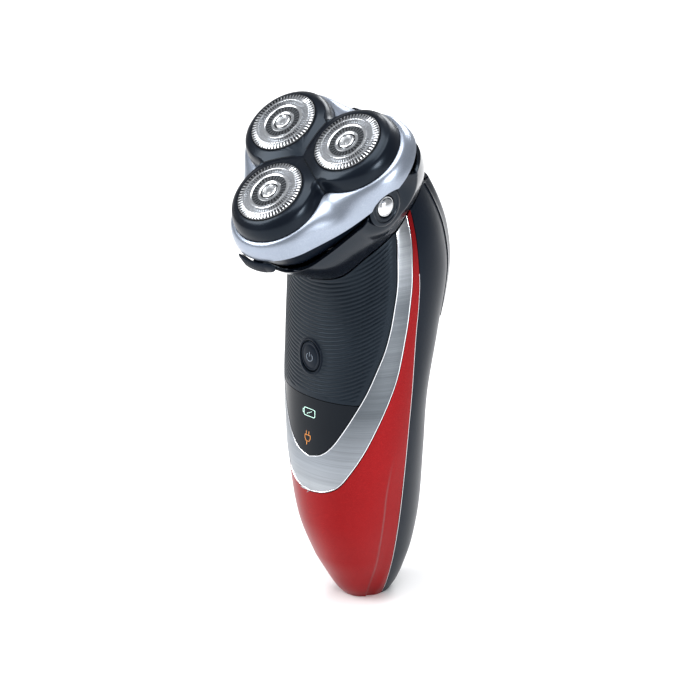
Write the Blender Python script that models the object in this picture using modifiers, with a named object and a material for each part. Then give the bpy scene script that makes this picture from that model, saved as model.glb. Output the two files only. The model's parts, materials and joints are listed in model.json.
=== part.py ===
"""A cordless rotary shaver with three cutters: handle, tilting head, opening shaving unit, pop-up trimmer.

Lengths are written in millimetres and turned into metres where each mesh is made.
X is the shaver's width, its front faces -Y, and Z runs up the handle from the middle of its foot.
The head has its own axes: U along X, V up the shaving face, N out of the face, from the face's centre.
"""

import math

import bmesh
import bpy
from mathutils import Matrix, Vector

MM = 0.001
GAP = 0.3  # between neighbouring pieces

# ---------------------------------------------------------------- driving dimensions
# Handle stations: height, front Y, back Y, half width
HANDLE = (
    (0, -8.6, 7.9, 6.9),
    (3, -11.2, 10.1, 8.7),
    (8, -14.3, 12.3, 10.8),
    (16, -18.8, 14.8, 13.6),
    (30, -23.8, 16.2, 17.3),
    (50, -25.4, 15.4, 20.8),
    (70, -25.0, 15.2, 23.0),
    (90, -24.2, 19.4, 24.0),
    (108, -23.5, 23.4, 24.2),
    (120, -24.0, 22.8, 22.9),
    (130, -22.5, 19.6, 20.4),
    (139, -19.9, 14.6, 17.0),
    (146, -17.3, 8.3, 13.1),
)
SECTION_POWER = 2.1  # of the handle's superellipse sections
SHELL = 1.6  # wall of the handle's casings

# Where the casings end under the collar: angle from the front, height
COLLAR_EDGE = (
    (0, 110.5), (25, 113.2), (45, 119.5), (60, 123.6), (75, 127.6),
    (90, 132.0), (110, 135.6), (140, 138.3), (180, 139.5),
)
# Half angles of the panel edges, by height
GRIP_TIP = 53.5
GRIP_EDGE = ((53.5, 0), (54.8, 11), (57.8, 20.5), (62.4, 28.7), (70.7, 40.5), (77, 48.3), (84.3, 55),
             (90.4, 60), (97, 62.9), (104, 64.6), (112, 67), (121, 69.8), (132, 73))
TRIM_TIP = 41.2
TRIM_EDGE = ((41.2, 0), (41.9, 14), (44.2, 28), (49.5, 39.5), (56.3, 50.1), (64.6, 59.8), (72.6, 67.8),
             (80.2, 73.4), (88, 75.9), (96, 77.4), (105, 78.2), (114, 80.4), (123, 83.6), (134, 85.2))
REAR_EDGE = ((0, 88), (16, 90), (33, 91.5), (58, 91.6), (72, 91), (88, 87.5), (98, 86), (110, 85.6),
             (120, 87.4), (128, 88.8), (135, 90))
WINDOW_TOP = 72.6
BUTTON_Z, BUTTON_HALF_X, BUTTON_HALF_Z = 85.6, 4.0, 4.9

# Head
FACE_Y, FACE_Z, FACE_TILT = -28.2, 151.5, 37.0
CUTTER_RING = 15.4  # the three cutters' centres lie on this radius
CUTTER_ANGLES = (-90, 30, 150)
CUTTER_R = 10.5
LOBE_R = 14.4
LOBE_BLEND = 1.5
RING_R = 17.2  # corner radius of the frame's lower edge
RING_TOP = -5.8
PIVOT_X, PIVOT_V, PIVOT_N = 23.2, 0.5, -17.7  # X is the collar's face round the pivot
# The chamber's bowl: corner radius and depth below the frame's lower edge
BOWL = ((16.4, 0), (14.9, -1.7), (13.8, -4.9), (12.4, -7.9), (9.2, -10.4), (5.5, -12.2), (1.5, -12.8))
BOWL_HOLE = 4.2
HINGE_V, HINGE_N = 25.3, -14.6

# Gears between the motor and the cutters
DRIVE_TEETH, SATELLITE_TEETH = 24, 16
GEAR_TOP, GEAR_THICK = -16.6, 1.5
COUPLING_TOP = -22.6
CATCH_LOW, CATCH_HIGH = -15.3, -13.0
LOCK_LOW, LOCK_HIGH = -11.6, -10.2

# Trimmer
FLAP_LOW, FLAP_HIGH, FLAP_HALF = 105.0, 136.5, 12.0
FLAP_PIN_Z, FLAP_PIN_DEEP = 131.5, 3.6
SLIDE_LOW = 95.5
RAISE = 1.5  # the trimmer's housing stands this proud of the rear cover

HEAD = Matrix.Translation((0, FACE_Y, FACE_Z)) @ Matrix.Rotation(math.radians(FACE_TILT), 4, "X")


# ---------------------------------------------------------------- small helpers
def curve_through(stations):
    """A smooth function through (position, value, ...) stations; it gives one number or a tuple."""
    xs = [s[0] for s in stations]
    width = len(stations[0]) - 1

    def slope(i, k):
        a, b = max(i - 1, 0), min(i + 1, len(xs) - 1)
        return (stations[b][k] - stations[a][k]) / (xs[b] - xs[a])

    def at(x):
        x = min(max(x, xs[0]), xs[-1])
        i = max(j for j in range(len(xs) - 1) if xs[j] <= x)
        h = xs[i + 1] - xs[i]
        t = (x - xs[i]) / h
        found = []
        for k in range(1, width + 1):
            p, q = stations[i][k], stations[i + 1][k]
            found.append(
                p * (1 + 2 * t) * (1 - t) ** 2
                + q * t * t * (3 - 2 * t)
                + h * (slope(i, k) * t * (1 - t) ** 2 - slope(i + 1, k) * t * t * (1 - t))
            )
        return found[0] if width == 1 else tuple(found)

    return at


handle_at = curve_through(HANDLE)
collar_edge = curve_through(COLLAR_EDGE)
grip_edge = curve_through(GRIP_EDGE)
trim_edge = curve_through(TRIM_EDGE)
rear_edge = curve_through(REAR_EDGE)


def power(x, p):
    return math.copysign(abs(x) ** p, x)


def skin(z, degrees, inset=0.0):
    """A point on the handle's outer surface, taken in by inset: height and angle from the front."""
    front, back, half = handle_at(z)
    middle, depth = (front + back) / 2, (back - front) / 2 - inset
    a = math.radians(degrees)
    return Vector((
        (half - inset) * power(math.sin(a), 2 / SECTION_POWER),
        middle - depth * power(math.cos(a), 2 / SECTION_POWER),
        z,
    ))


def back_y(x, z, inset=0.0):
    """Y of the handle's back surface at x and z."""
    front, back, half = handle_at(z)
    depth = (back - front) / 2 - inset
    share = min(abs(x) / (half - inset), 1.0)
    return (front + back) / 2 + depth * (1 - share ** SECTION_POWER) ** (1 / SECTION_POWER)


def lobe_centre(degrees):
    a = math.radians(degrees)
    return Vector((CUTTER_RING * math.cos(a), CUTTER_RING * math.sin(a), 0))


LOBES = [lobe_centre(a) for a in CUTTER_ANGLES]


def trefoil(degrees, radius):
    """Distance from the face's centre to the edge of three blended lobes, in this direction."""
    a = math.radians(degrees)
    low, high = 0.0, 60.0
    for _ in range(40):
        middle = (low + high) / 2
        p = Vector((middle * math.cos(a), middle * math.sin(a), 0))
        total = sum(math.exp(-((p - c).length - radius) / LOBE_BLEND) for c in LOBES)
        if total > 1:
            low = middle
        else:
            high = middle
    return low


def rounded_triangle(degrees, corner):
    """Distance to the edge of a triangle whose corners are arcs round the cutters' centres."""
    a = math.radians((degrees + 90 + 60) % 120 - 60)
    tangent = math.atan2(corner * math.sin(math.pi / 3), CUTTER_RING + corner * math.cos(math.pi / 3))
    if abs(a) <= tangent:
        return CUTTER_RING * math.cos(a) + math.sqrt(corner ** 2 - (CUTTER_RING * math.sin(a)) ** 2)
    return (CUTTER_RING / 2 + corner) / math.cos(math.pi / 3 - abs(a))


def ring_low(degrees):
    """N of the frame's lower edge: deepest between the lobes."""
    return -12.4 + 1.4 * math.cos(math.radians(3 * (degrees + 90)))


def polar(radius, degrees, n):
    a = math.radians(degrees)
    return Vector((radius * math.cos(a), radius * math.sin(a), n))


# ---------------------------------------------------------------- making objects
SHOWN = bpy.data.collections.new("shaver")
CUTTERS = bpy.data.collections.new("cutting_tools")
MATERIALS = {}


def material(name, colour, roughness, metallic=0.0):
    made = bpy.data.materials.new(name)
    made.use_nodes = True
    shader = made.node_tree.nodes["Principled BSDF"]
    shader.inputs["Base Color"].default_value = (*colour, 1)
    shader.inputs["Roughness"].default_value = roughness
    shader.inputs["Metallic"].default_value = metallic
    MATERIALS[name] = made


def make_materials():
    material("black_gloss", (0.012, 0.014, 0.018), 0.18)
    material("black_satin", (0.016, 0.018, 0.022), 0.42)
    material("rubber_black", (0.012, 0.013, 0.016), 0.6)
    material("red_lacquer", (0.42, 0.012, 0.022), 0.25, 0.4)
    material("brushed_metal", (0.55, 0.57, 0.6), 0.32, 1.0)
    material("silver_lacquer", (0.62, 0.68, 0.78), 0.28, 0.7)
    material("steel", (0.68, 0.69, 0.7), 0.22, 1.0)
    material("gear_plastic", (0.75, 0.74, 0.7), 0.5)
    material("cell_wrap", (0.08, 0.2, 0.34), 0.45)
    material("board_green", (0.02, 0.16, 0.08), 0.55)
    material("window_smoke", (0.01, 0.011, 0.014), 0.08)
    material("lamp", (0.75, 0.85, 0.8), 0.3)


def link(obj, name, finish, cutter=False):
    obj.name = name
    obj.data.name = name
    (CUTTERS if cutter else SHOWN).objects.link(obj)
    if cutter:
        obj.hide_render = True
        obj.display_type = "WIRE"
    else:
        obj.data.materials.append(MATERIALS[finish])
        obj.data.shade_smooth()
        obj.data.set_sharp_from_angle(angle=math.radians(35))
    return obj


def mesh_object(name, finish, bm, head=False, cutter=False):
    """An object from a bmesh in millimetres. A head piece is given in the head's own axes."""
    mesh = bpy.data.meshes.new(name)
    bmesh.ops.scale(bm, vec=(MM, MM, MM), verts=bm.verts)
    bm.to_mesh(mesh)
    bm.free()
    obj = link(bpy.data.objects.new(name, mesh), name, finish, cutter)
    if head:
        obj.matrix_world = Matrix.Translation(HEAD.translation * MM) @ HEAD.to_3x3().to_4x4()
    return obj


def grid(columns, rows, place):
    """A grid sheet bent by place(u, v), with u and v from 0 to 1. Points that meet are joined."""
    bm = bmesh.new()
    bmesh.ops.create_grid(bm, x_segments=columns, y_segments=rows, size=1)
    for vertex in bm.verts:
        u, v = (vertex.co.x + 1) / 2, (vertex.co.y + 1) / 2
        vertex.co = place(u, v)
    bmesh.ops.remove_doubles(bm, verts=bm.verts, dist=0.01)
    bmesh.ops.dissolve_degenerate(bm, edges=bm.edges, dist=0.005)
    return bm


def face_out(bm, centre):
    """Turns an open sheet's faces away from a point inside it."""
    bmesh.ops.recalc_face_normals(bm, faces=bm.faces)
    balance = sum((f.calc_center_median() - Vector(centre)).dot(f.normal) * f.calc_area() for f in bm.faces)
    if balance < 0:
        bmesh.ops.reverse_faces(bm, faces=bm.faces)
    return bm


def thicken(obj, thickness):
    """Gives an open sheet a wall, inwards."""
    wall = obj.modifiers.new("wall", "SOLIDIFY")
    wall.thickness = thickness * MM
    wall.offset = -1
    wall.use_even_offset = True
    return obj


def cut(obj, *tools):
    for tool in tools:
        made = obj.modifiers.new("cut_" + tool.name, "BOOLEAN")
        made.object = tool
        made.operation = "DIFFERENCE"
    return obj


def add(obj, *others):
    for other in others:
        made = obj.modifiers.new("add_" + other.name, "BOOLEAN")
        made.object = other
        made.operation = "UNION"
    return obj


def cylinder(radius, low, high, at=(0, 0), sides=24, top_radius=None):
    """A cylinder or cone along the third axis."""
    bm = bmesh.new()
    bmesh.ops.create_cone(
        bm, cap_ends=True, segments=sides, radius1=radius,
        radius2=radius if top_radius is None else top_radius, depth=high - low,
        matrix=Matrix.Translation((at[0], at[1], (low + high) / 2)),
    )
    return bm


def block(low, high):
    bm = bmesh.new()
    size = Vector(high) - Vector(low)
    bmesh.ops.create_cube(bm, size=1)
    bmesh.ops.scale(bm, vec=size, verts=bm.verts)
    bmesh.ops.translate(bm, vec=(Vector(high) + Vector(low)) / 2, verts=bm.verts)
    return bm


def along_x(bm):
    """Turns a piece made along the third axis to lie along X."""
    bmesh.ops.rotate(bm, matrix=Matrix.Rotation(math.radians(90), 3, "Y"), verts=bm.verts)
    return bm


def moved(bm, *vector):
    bmesh.ops.translate(bm, vec=vector, verts=bm.verts)
    return bm


def plate(outline, low, high):
    """A flat plate of any outline, a list of (x, y), between two heights."""
    bm = bmesh.new()
    face = bm.faces.new([bm.verts.new((x, y, low)) for x, y in outline])
    bm.normal_update()
    if face.normal.z > 0:
        face.normal_flip()
    raised = bmesh.ops.extrude_face_region(bm, geom=[face])
    verts = [g for g in raised["geom"] if isinstance(g, bmesh.types.BMVert)]
    bmesh.ops.translate(bm, vec=(0, 0, high - low), verts=verts)
    bmesh.ops.recalc_face_normals(bm, faces=bm.faces)
    return bm


def turned(profile, at=(0, 0), sides=32):
    """A ring or cap turned round the third axis: a closed profile of (radius, height) points."""
    bm = bmesh.new()
    verts = [bm.verts.new((r, 0, h)) for r, h in profile]
    edges = [bm.edges.new((verts[i], verts[(i + 1) % len(verts)])) for i in range(len(verts))]
    bmesh.ops.spin(
        bm, geom=verts + edges, axis=(0, 0, 1), cent=(0, 0, 0), dvec=(0, 0, 0),
        angle=math.tau, steps=sides, use_merge=False, use_duplicate=False,
    )
    bmesh.ops.remove_doubles(bm, verts=bm.verts, dist=0.002)
    bmesh.ops.dissolve_degenerate(bm, edges=bm.edges, dist=0.001)
    bmesh.ops.delete(bm, geom=[e for e in bm.edges if not e.link_faces], context="EDGES")
    bmesh.ops.recalc_face_normals(bm, faces=bm.faces)
    return moved(bm, at[0], at[1], 0)


# ---------------------------------------------------------------- handle casings
def settle(half_angle, share, tip, squeeze):
    """Angle and height on a panel's edge: share 0 is its lowest point and 1 is under the collar."""
    z = tip
    for _ in range(6):
        top = collar_edge(half_angle(z)) - GAP
        z = tip + (top - tip) * share ** squeeze
    return half_angle(z), z


def edge_shift(z):
    """The panel gap as an angle at this height."""
    return math.degrees(GAP / 2 / (handle_at(z)[2] + 1e-6))


def grip_panel():
    def place(u, v):
        s = 2 * u - 1
        low = WINDOW_TOP + GAP / 2
        z = low
        for _ in range(6):
            half = grip_edge(z) - 1.9 * edge_shift(z)
            z = low + (collar_edge(abs(s) * half) - GAP - low) * v
        return skin(z, s * (grip_edge(z) - 1.9 * edge_shift(z)))

    panel = mesh_object("grip_panel", "rubber_black", face_out(grid(12, 8, place), (0, 0, 90)))
    thicken(panel, SHELL)
    hole = cylinder(1, -6, 6, sides=28)
    bmesh.ops.scale(hole, vec=(BUTTON_HALF_X + GAP, BUTTON_HALF_Z + GAP, 1), verts=hole.verts)
    bmesh.ops.rotate(hole, matrix=Matrix.Rotation(math.radians(90), 3, "X"), verts=hole.verts)
    moved(hole, 0, handle_at(BUTTON_Z)[0], BUTTON_Z)
    cut(panel, mesh_object("button_hole_tool", None, hole, cutter=True))


def status_window():
    def place(u, v):
        s = 2 * u - 1
        low, high = GRIP_TIP + GAP / 2, WINDOW_TOP - GAP / 2
        z = low + (high - low) * v * v
        return skin(z, s * max(grip_edge(z) - 1.9 * edge_shift(z), 0) * (0 if v == 0 else 1))

    thicken(mesh_object("status_window", "window_smoke", face_out(grid(8, 5, place), (0, 0, 63))), SHELL)


def trim_band():
    def place(u, v):
        t = 2 * u - 1
        side, share = math.copysign(1, t), abs(t)
        inner, z_in = settle(grip_edge, share, GRIP_TIP, 2)
        outer, z_out = settle(trim_edge, share, TRIM_TIP, 2)
        inner, outer = inner + edge_shift(z_in), outer - edge_shift(z_out)
        z_in, z_out = z_in - GAP / 2 * (1 - share), z_out + GAP / 2 * (1 - share)
        if share == 0:
            inner = outer = 0
        z = z_in + (z_out - z_in) * v
        return skin(z, side * (inner + (outer - inner) * v))

    thicken(mesh_object("trim_band", "brushed_metal", face_out(grid(30, 2, place), (0, 0, 90))), SHELL)


def front_shell():
    foot_share = 0.42  # of the band's length that runs round the foot

    def place(u, v):
        t = 2 * u - 1
        side, share = math.copysign(1, t), abs(t)
        inner, z_in = settle(trim_edge, share, TRIM_TIP, 2)
        inner, z_in = inner + 1.5 * edge_shift(z_in), z_in - GAP / 2 * (1 - share)
        if share == 0:
            inner = 0
        if share < foot_share:
            outer, z_out = rear_edge(0) * share / foot_share, 0.0
        else:
            outer, z_out = settle(rear_edge, (share - foot_share) / (1 - foot_share), 0.0, 1)
        outer -= edge_shift(max(z_out, 2)) * min(share / foot_share, 1)
        z = z_in + (z_out - z_in) * v
        return skin(z, side * (inner + (outer - inner) * v))

    thicken(mesh_object("front_shell", "red_lacquer", face_out(grid(30, 5, place), (0, 0, 60))), SHELL)


def rear_cover():
    def place(u, v):
        z = 0.0
        for _ in range(6):
            start = rear_edge(z) + edge_shift(max(z, 2))
            angle = start + (360 - 2 * start) * u
            z = (collar_edge(min(angle, 360 - angle)) - GAP) * v
        return skin(z, angle)

    cover = mesh_object("rear_cover", "black_satin", face_out(grid(14, 12, place), (0, 0, 70)))
    thicken(cover, SHELL)
    window = block((-FLAP_HALF - 1, 8, FLAP_LOW - 1), (FLAP_HALF + 1, 40, FLAP_HIGH + 10))
    cut(cover, mesh_object("trimmer_window_tool", None, window, cutter=True))


def handle_patch(name, finish, low, high, half, raised, wall, size, narrow=1.0):
    """A raised patch of the handle's back between two heights, within half a width of the middle."""
    def place(u, v):
        z = low + (high - low) * v
        reach = half * (1 + (narrow - 1) * v ** 3)
        x = (2 * u - 1) * reach
        return Vector((x, back_y(x, z, -raised), z))

    patch = mesh_object(name, finish, face_out(grid(*size, place), (0, -40, (low + high) / 2)))
    return thicken(patch, wall)


def trimmer_parts():
    housing = handle_patch("trimmer_housing", "black_gloss", 93, 136.5, 18, RAISE, RAISE - GAP, (10, 7), 0.85)
    window = block((-FLAP_HALF - GAP, 5, FLAP_LOW - GAP), (FLAP_HALF + GAP, 50, FLAP_HIGH + 10))
    cut(housing, mesh_object("flap_window_tool", None, window, cutter=True))
    flap = handle_patch("trimmer_flap", "black_gloss", FLAP_LOW, FLAP_HIGH, FLAP_HALF, RAISE, 1.3, (6, 6))
    pin_y = back_y(0, FLAP_PIN_Z) - FLAP_PIN_DEEP
    lugs = []
    for name, low, high in (("left", -8.5, -7.0), ("right", 7.0, 8.5)):
        top = back_y(high, FLAP_PIN_Z) + 0.9
        lug = block((low, pin_y - 1.5, FLAP_PIN_Z - 1.5), (high, top, FLAP_PIN_Z + 1.5))
        lugs.append(mesh_object(f"flap_lug_{name}_tool", None, lug, cutter=True))
    add(flap, *lugs)
    bore = moved(along_x(cylinder(0.95, -12, 12, sides=12)), 0, pin_y, FLAP_PIN_Z)
    cut(flap, mesh_object("flap_bore_tool", None, bore, cutter=True))
    pin = moved(along_x(cylinder(0.7, -11.5, 11.5, sides=12)), 0, pin_y, FLAP_PIN_Z)
    mesh_object("trimmer_hinge_pin", "steel", pin)
    handle_patch("trimmer_slide", "black_satin", SLIDE_LOW, SLIDE_LOW + 5, 5, RAISE + GAP + 1.2, 1.2, (4, 3))

    blade_y = back_y(0, 108) - 3.4
    tooth, gap_width, count = 0.9, 0.9, 12
    half = (count * (tooth + gap_width) - gap_width) / 2

    def comb(low, root, high):
        """A strip whose lower edge is a row of teeth."""
        outline = [(-half, high)]
        for i in range(count):
            left = -half + i * (tooth + gap_width)
            outline += [(left, root), (left + 0.25, low), (left + tooth - 0.25, low), (left + tooth, root)]
        return outline + [(half, high)]

    for name, low, high, y_low, y_high in (
        ("trimmer_guard", FLAP_LOW + 0.6, FLAP_LOW + 8, 0.0, 0.7),
        ("trimmer_blade", FLAP_LOW + 1.0, FLAP_LOW + 6.4, -0.9, -0.3),
    ):
        strip = plate(comb(low, low + 2.4, high), y_low, y_high)
        bmesh.ops.rotate(strip, matrix=Matrix.Rotation(math.radians(90), 3, "X"), verts=strip.verts)
        bmesh.ops.scale(strip, vec=(1, -1, 1), verts=strip.verts)
        bmesh.ops.recalc_face_normals(strip, faces=strip.faces)
        mesh_object(name, "steel", moved(strip, 0, blade_y, 0))


# ---------------------------------------------------------------- collar and pivots
collar_rim = curve_through((
    # angle from the chin, corner radius, N
    (0, 13.0, -22.1), (30, 14.4, -20.9), (60, 16.1, -17.9), (90, 16.4, -15.4), (120, 16.6, -15.2),
    (150, 16.6, -17.0), (180, 16.4, -18.8),
))


def near_pivot(p, flat, slope, lift=0.0):
    """Brings a point of the head to a flat place round the pivot, flat mm from the middle."""
    away = abs(p.y - PIVOT_V)
    limit = flat + slope * max(away - 5, 0) ** 2
    x = min(abs(p.x), limit)
    near = min(max((11 - math.hypot(away, p.z - PIVOT_N)) / 4.5, 0), 1) * lift
    x += (flat - x) * near * near * (3 - 2 * near)
    return Vector((math.copysign(x, p.x), p.y, p.z))


def neck_collar():
    to_head = HEAD.inverted()

    def place(u, v):
        angle = 360 * u
        from_chin = min(angle, 360 - angle)
        low = skin(collar_edge(from_chin), angle)
        corner, n = collar_rim(from_chin)
        high = HEAD @ polar(rounded_triangle(angle - 90, corner), angle - 90, n)
        out = Vector((math.sin(math.radians(angle)), -math.cos(math.radians(angle)), 0))
        p = low.lerp(high, v) + out * math.sin(math.pi * v)
        return HEAD @ near_pivot(to_head @ p, PIVOT_X, 0.12, lift=1)

    collar = mesh_object("neck_collar", "black_gloss", face_out(grid(48, 5, place), (0, -14, 134)))
    thicken(collar, 1.3)
    tools = []
    for name, side in (("left", -1), ("right", 1)):
        bore = along_x(cylinder(2.3, -6, 6, sides=24))
        at = HEAD @ Vector((side * PIVOT_X, PIVOT_V, PIVOT_N))
        tools.append(mesh_object(f"pivot_bore_{name}_tool", None, moved(bore, *at), cutter=True))
    cut(collar, *tools)


def pivots():
    """A round cap on each side, with a domed stud in its middle, on the axis the head tilts about."""
    for name, side in (("left", -1), ("right", 1)):
        at = HEAD @ Vector((side * PIVOT_X, PIVOT_V, PIVOT_N))
        cap = turned([(3.5, 0.6), (3.5, 1.4), (5.6, 1.4), (6.3, 1.0), (6.3, 0.6)], sides=24)
        bmesh.ops.rotate(cap, matrix=Matrix.Rotation(math.radians(90 * side), 3, "Y"), verts=cap.verts)
        mesh_object(f"pivot_cap_{name}", "black_gloss", moved(cap, *at))
        stud = turned([(0, -1.7), (2.0, -1.7), (2.0, 0.3), (3.2, 0.3), (3.2, 1.3), (2.4, 2.1), (1.2, 2.5),
                       (0, 2.6)], sides=18)
        bmesh.ops.rotate(stud, matrix=Matrix.Rotation(math.radians(90 * side), 3, "Y"), verts=stud.verts)
        mesh_object(f"pivot_stud_{name}", "steel", moved(stud, *at))


# ---------------------------------------------------------------- handle inside
def foot_and_socket():
    """The plate that closes the foot, and the inlet for the charging plug in it."""
    def outline(inset):
        return [tuple(skin(0.0, a, inset)[:2]) for a in range(0, 360, 12)]

    foot = mesh_object("base_plate", "black_satin", plate(outline(SHELL + GAP + 0.2), 0.0, 2.0))
    hole = block((-2.5, 0.6, -3), (2.5, 4.9, 5))
    cut(foot, mesh_object("inlet_hole_tool", None, hole, cutter=True))
    socket = mesh_object("charging_socket", "black_gloss", block((-3.4, -0.2, 2.3), (3.4, 5.7, 10.2)))
    cavity = block((-2.5, 0.6, -2), (2.5, 4.9, 9))
    cut(socket, mesh_object("socket_cavity_tool", None, cavity, cutter=True))
    for name, x in (("contact_pin_left", -1.0), ("contact_pin_right", 1.0)):
        mesh_object(name, "steel", cylinder(0.4, 5.0, 8.7, at=(x, 2.75), sides=12))


def insides():
    chassis = mesh_object("inner_frame", "black_satin", block((-13, -10.0, 24), (13, -8.4, 98)))
    rails = block((-13, -8.6, 24), (-11.6, -3.4, 98)), block((11.6, -8.6, 24), (13, -3.4, 98))
    add(chassis, *(mesh_object(f"rail_{i}_tool", None, rail, cutter=True) for i, rail in enumerate(rails)))
    cut(chassis, mesh_object("frame_window_tool", None, block((-6, -14, 40), (6, -6, 60)), cutter=True))
    for name, x in (("battery_cell_left", -7.3), ("battery_cell_right", 7.3)):
        cell = turned([(0, 36), (6.6, 36), (7, 36.4), (7, 84.4), (6.6, 84.8), (2.6, 84.8), (2.6, 86),
                       (0, 86)], at=(x, 3.4), sides=20)
        mesh_object(name, "cell_wrap", cell)
    board = [(-11, 48), (11, 48), (12.5, 60), (12.5, 96), (-12.5, 96), (-12.5, 60)]
    pcb = plate(board, 0, 1.2)
    bmesh.ops.rotate(pcb, matrix=Matrix.Rotation(math.radians(90), 3, "X"), verts=pcb.verts)
    mesh_object("circuit_board", "board_green", moved(pcb, 0, -15.2, 0))
    mesh_object("tact_switch", "steel", block((-2.5, -19.2, BUTTON_Z - 2.5), (2.5, -16.7, BUTTON_Z + 2.5)))
    for name, z in (("charge_lamp", 67.6), ("plug_lamp", 62.2)):
        mesh_object(name, "lamp", block((-1.6, -18.4, z - 1.2), (1.6, -16.7, z + 1.2)))

    can = turned([(0, -59), (3, -59), (3, -57.6), (10, -57.6), (10.8, -56.8), (10.8, -34.6), (10, -33.8),
                  (2.4, -33.8), (2.4, -33), (0, -33)], sides=20)
    mesh_object("motor", "steel", can, head=True)
    dog = turned([(0, -32.6), (1.1, -32.6), (1.1, -26.8), (2.6, -26.8), (2.6, COUPLING_TOP),
                  (0, COUPLING_TOP)], sides=16)
    mesh_object("drive_coupling", "gear_plastic", dog, head=True)
    screws = (("screw_low", 0, 14), ("screw_mid_left", -8, 29), ("screw_mid_right", 8, 29),
              ("screw_top", 0, 90))
    for name, x, z in screws:
        screw = turned([(0, 0), (1.6, 0), (1.6, 1.2), (0.8, 1.4), (0.8, 5), (0, 5.4)], sides=14)
        bmesh.ops.rotate(screw, matrix=Matrix.Rotation(math.radians(90), 3, "X"), verts=screw.verts)
        mesh_object(name, "steel", moved(screw, x, back_y(x, z) - SHELL - 2.0, z))


def power_button():
    """An oval button that stands just proud of the grip."""
    y = handle_at(BUTTON_Z)[0]
    dome = turned([(0, 0.35), (0.55, 0.3), (0.85, 0.1), (1, -0.3), (1, -2.6), (0.3, -2.6), (0.3, -4.2),
                   (0, -4.2)], sides=20)
    bmesh.ops.scale(dome, vec=(BUTTON_HALF_X, BUTTON_HALF_Z, 1), verts=dome.verts)
    bmesh.ops.rotate(dome, matrix=Matrix.Rotation(math.radians(90), 3, "X"), verts=dome.verts)
    mesh_object("power_button", "rubber_black", moved(dome, 0, y, BUTTON_Z))


# ---------------------------------------------------------------- head base, which tilts
def bowl_point(degrees, i):
    """A point of the bowl's outer surface. Its depth evens out towards the bottom."""
    corner, drop = BOWL[i]
    level = ring_low(-90)
    n = level + (ring_low(degrees) - level) * (1 - i / (len(BOWL) - 1)) - 2 * GAP + drop
    return near_pivot(polar(rounded_triangle(degrees, corner), degrees, n), PIVOT_X - 2.1, 0.045)


def hair_chamber():
    """The bowl under the shaving unit. Its rim follows the frame's lower edge."""
    last = len(BOWL)

    def place(u, v):
        i = int(round(v * last))
        if i < last:
            return bowl_point(360 * u, i)
        return polar(BOWL_HOLE, 360 * u, bowl_point(0, last - 1).z)

    bowl = mesh_object("hair_chamber", "black_gloss", face_out(grid(36, last, place), (0, 0, -10)), head=True)
    thicken(bowl, 1.2)
    slot = block((-2.3, -36, -15.0), (2.3, -24, -13.3))
    cut(bowl, mesh_object("catch_slot_tool", None, slot, head=True, cutter=True))

    sweep = [math.radians(a) for a in range(-108, -71, 4)]
    arc = [(16.8 * math.cos(a), LOBES[0].y + 16.8 * math.sin(a)) for a in sweep]
    arc += [(18.6 * math.cos(a), LOBES[0].y + 18.6 * math.sin(a)) for a in reversed(sweep)]
    catch = mesh_object("release_catch", "black_satin", plate(arc, CATCH_LOW, CATCH_HIGH), head=True)
    stem = block((-2, -33, -14.7), (2, -27.5, -13.6))
    add(catch, mesh_object("catch_stem_tool", None, stem, head=True, cutter=True))

    outline = []
    for a in range(0, 360, 15):
        p = near_pivot(polar(rounded_triangle(a, 12.0), a, PIVOT_N), PIVOT_X - 4.2, 0.045)
        outline.append((p.x, p.y))
    floor_plate = mesh_object("chamber_floor", "gear_plastic", plate(outline, -16.1, -15.0), head=True)
    bores = []
    for i, c in enumerate(LOBES, 1):
        bores.append(mesh_object(f"spindle_bore_{i}_tool", None, cylinder(1.9, -18, -10, at=c[:2], sides=16),
                                 head=True, cutter=True))
    cut(floor_plate, *bores)


def gear(teeth, pitch_radius, phase):
    """A gear's outline, one straight-sided tooth after another."""
    step = math.tau / teeth
    outline = []
    for i in range(teeth):
        middle = math.radians(phase) + i * step
        for share, height in ((-0.25, -0.75), (-0.1, 0.5), (0.1, 0.5), (0.25, -0.75)):
            a = middle + share * step
            r = pitch_radius + height
            outline.append((r * math.cos(a), r * math.sin(a)))
    return outline


def gears():
    total = DRIVE_TEETH + SATELLITE_TEETH
    drive_r = CUTTER_RING * DRIVE_TEETH / total
    satellite_r = CUTTER_RING * SATELLITE_TEETH / total
    low = GEAR_TOP - GEAR_THICK
    toothed = plate(gear(DRIVE_TEETH, drive_r, 0), low, GEAR_TOP)
    wheel = mesh_object("drive_gear", "gear_plastic", toothed, head=True)
    hub = cylinder(2.4, -22.0, low + 0.5, sides=16)
    hub = mesh_object("drive_hub_tool", None, hub, head=True, cutter=True)
    add(wheel, hub)
    for i, (angle, c) in enumerate(zip(CUTTER_ANGLES, LOBES), 1):
        phase = angle + 180 + drive_r / satellite_r * angle - 180 / SATELLITE_TEETH
        body = moved(plate(gear(SATELLITE_TEETH, satellite_r, phase), low, GEAR_TOP), c.x, c.y, 0)
        wheel = mesh_object(f"satellite_gear_{i}", "gear_plastic", body, head=True)
        cut(wheel, mesh_object(f"gear_bore_{i}_tool", None, cylinder(1.8, -22, -12, at=c[:2], sides=16),
                               head=True, cutter=True))
        spindle = turned([(0, -19.4), (1.4, -19.4), (1.4, -7.2), (1.0, -5.9), (0, -5.9)], at=c[:2], sides=12)
        mesh_object(f"drive_spindle_{i}", "steel", spindle, head=True)


def hinge_bar(name, low, high, radius):
    bar = moved(along_x(cylinder(radius, low, high, sides=16)), 0, HINGE_V, HINGE_N)
    return mesh_object(name, None, bar, head=True, cutter=True)


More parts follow.
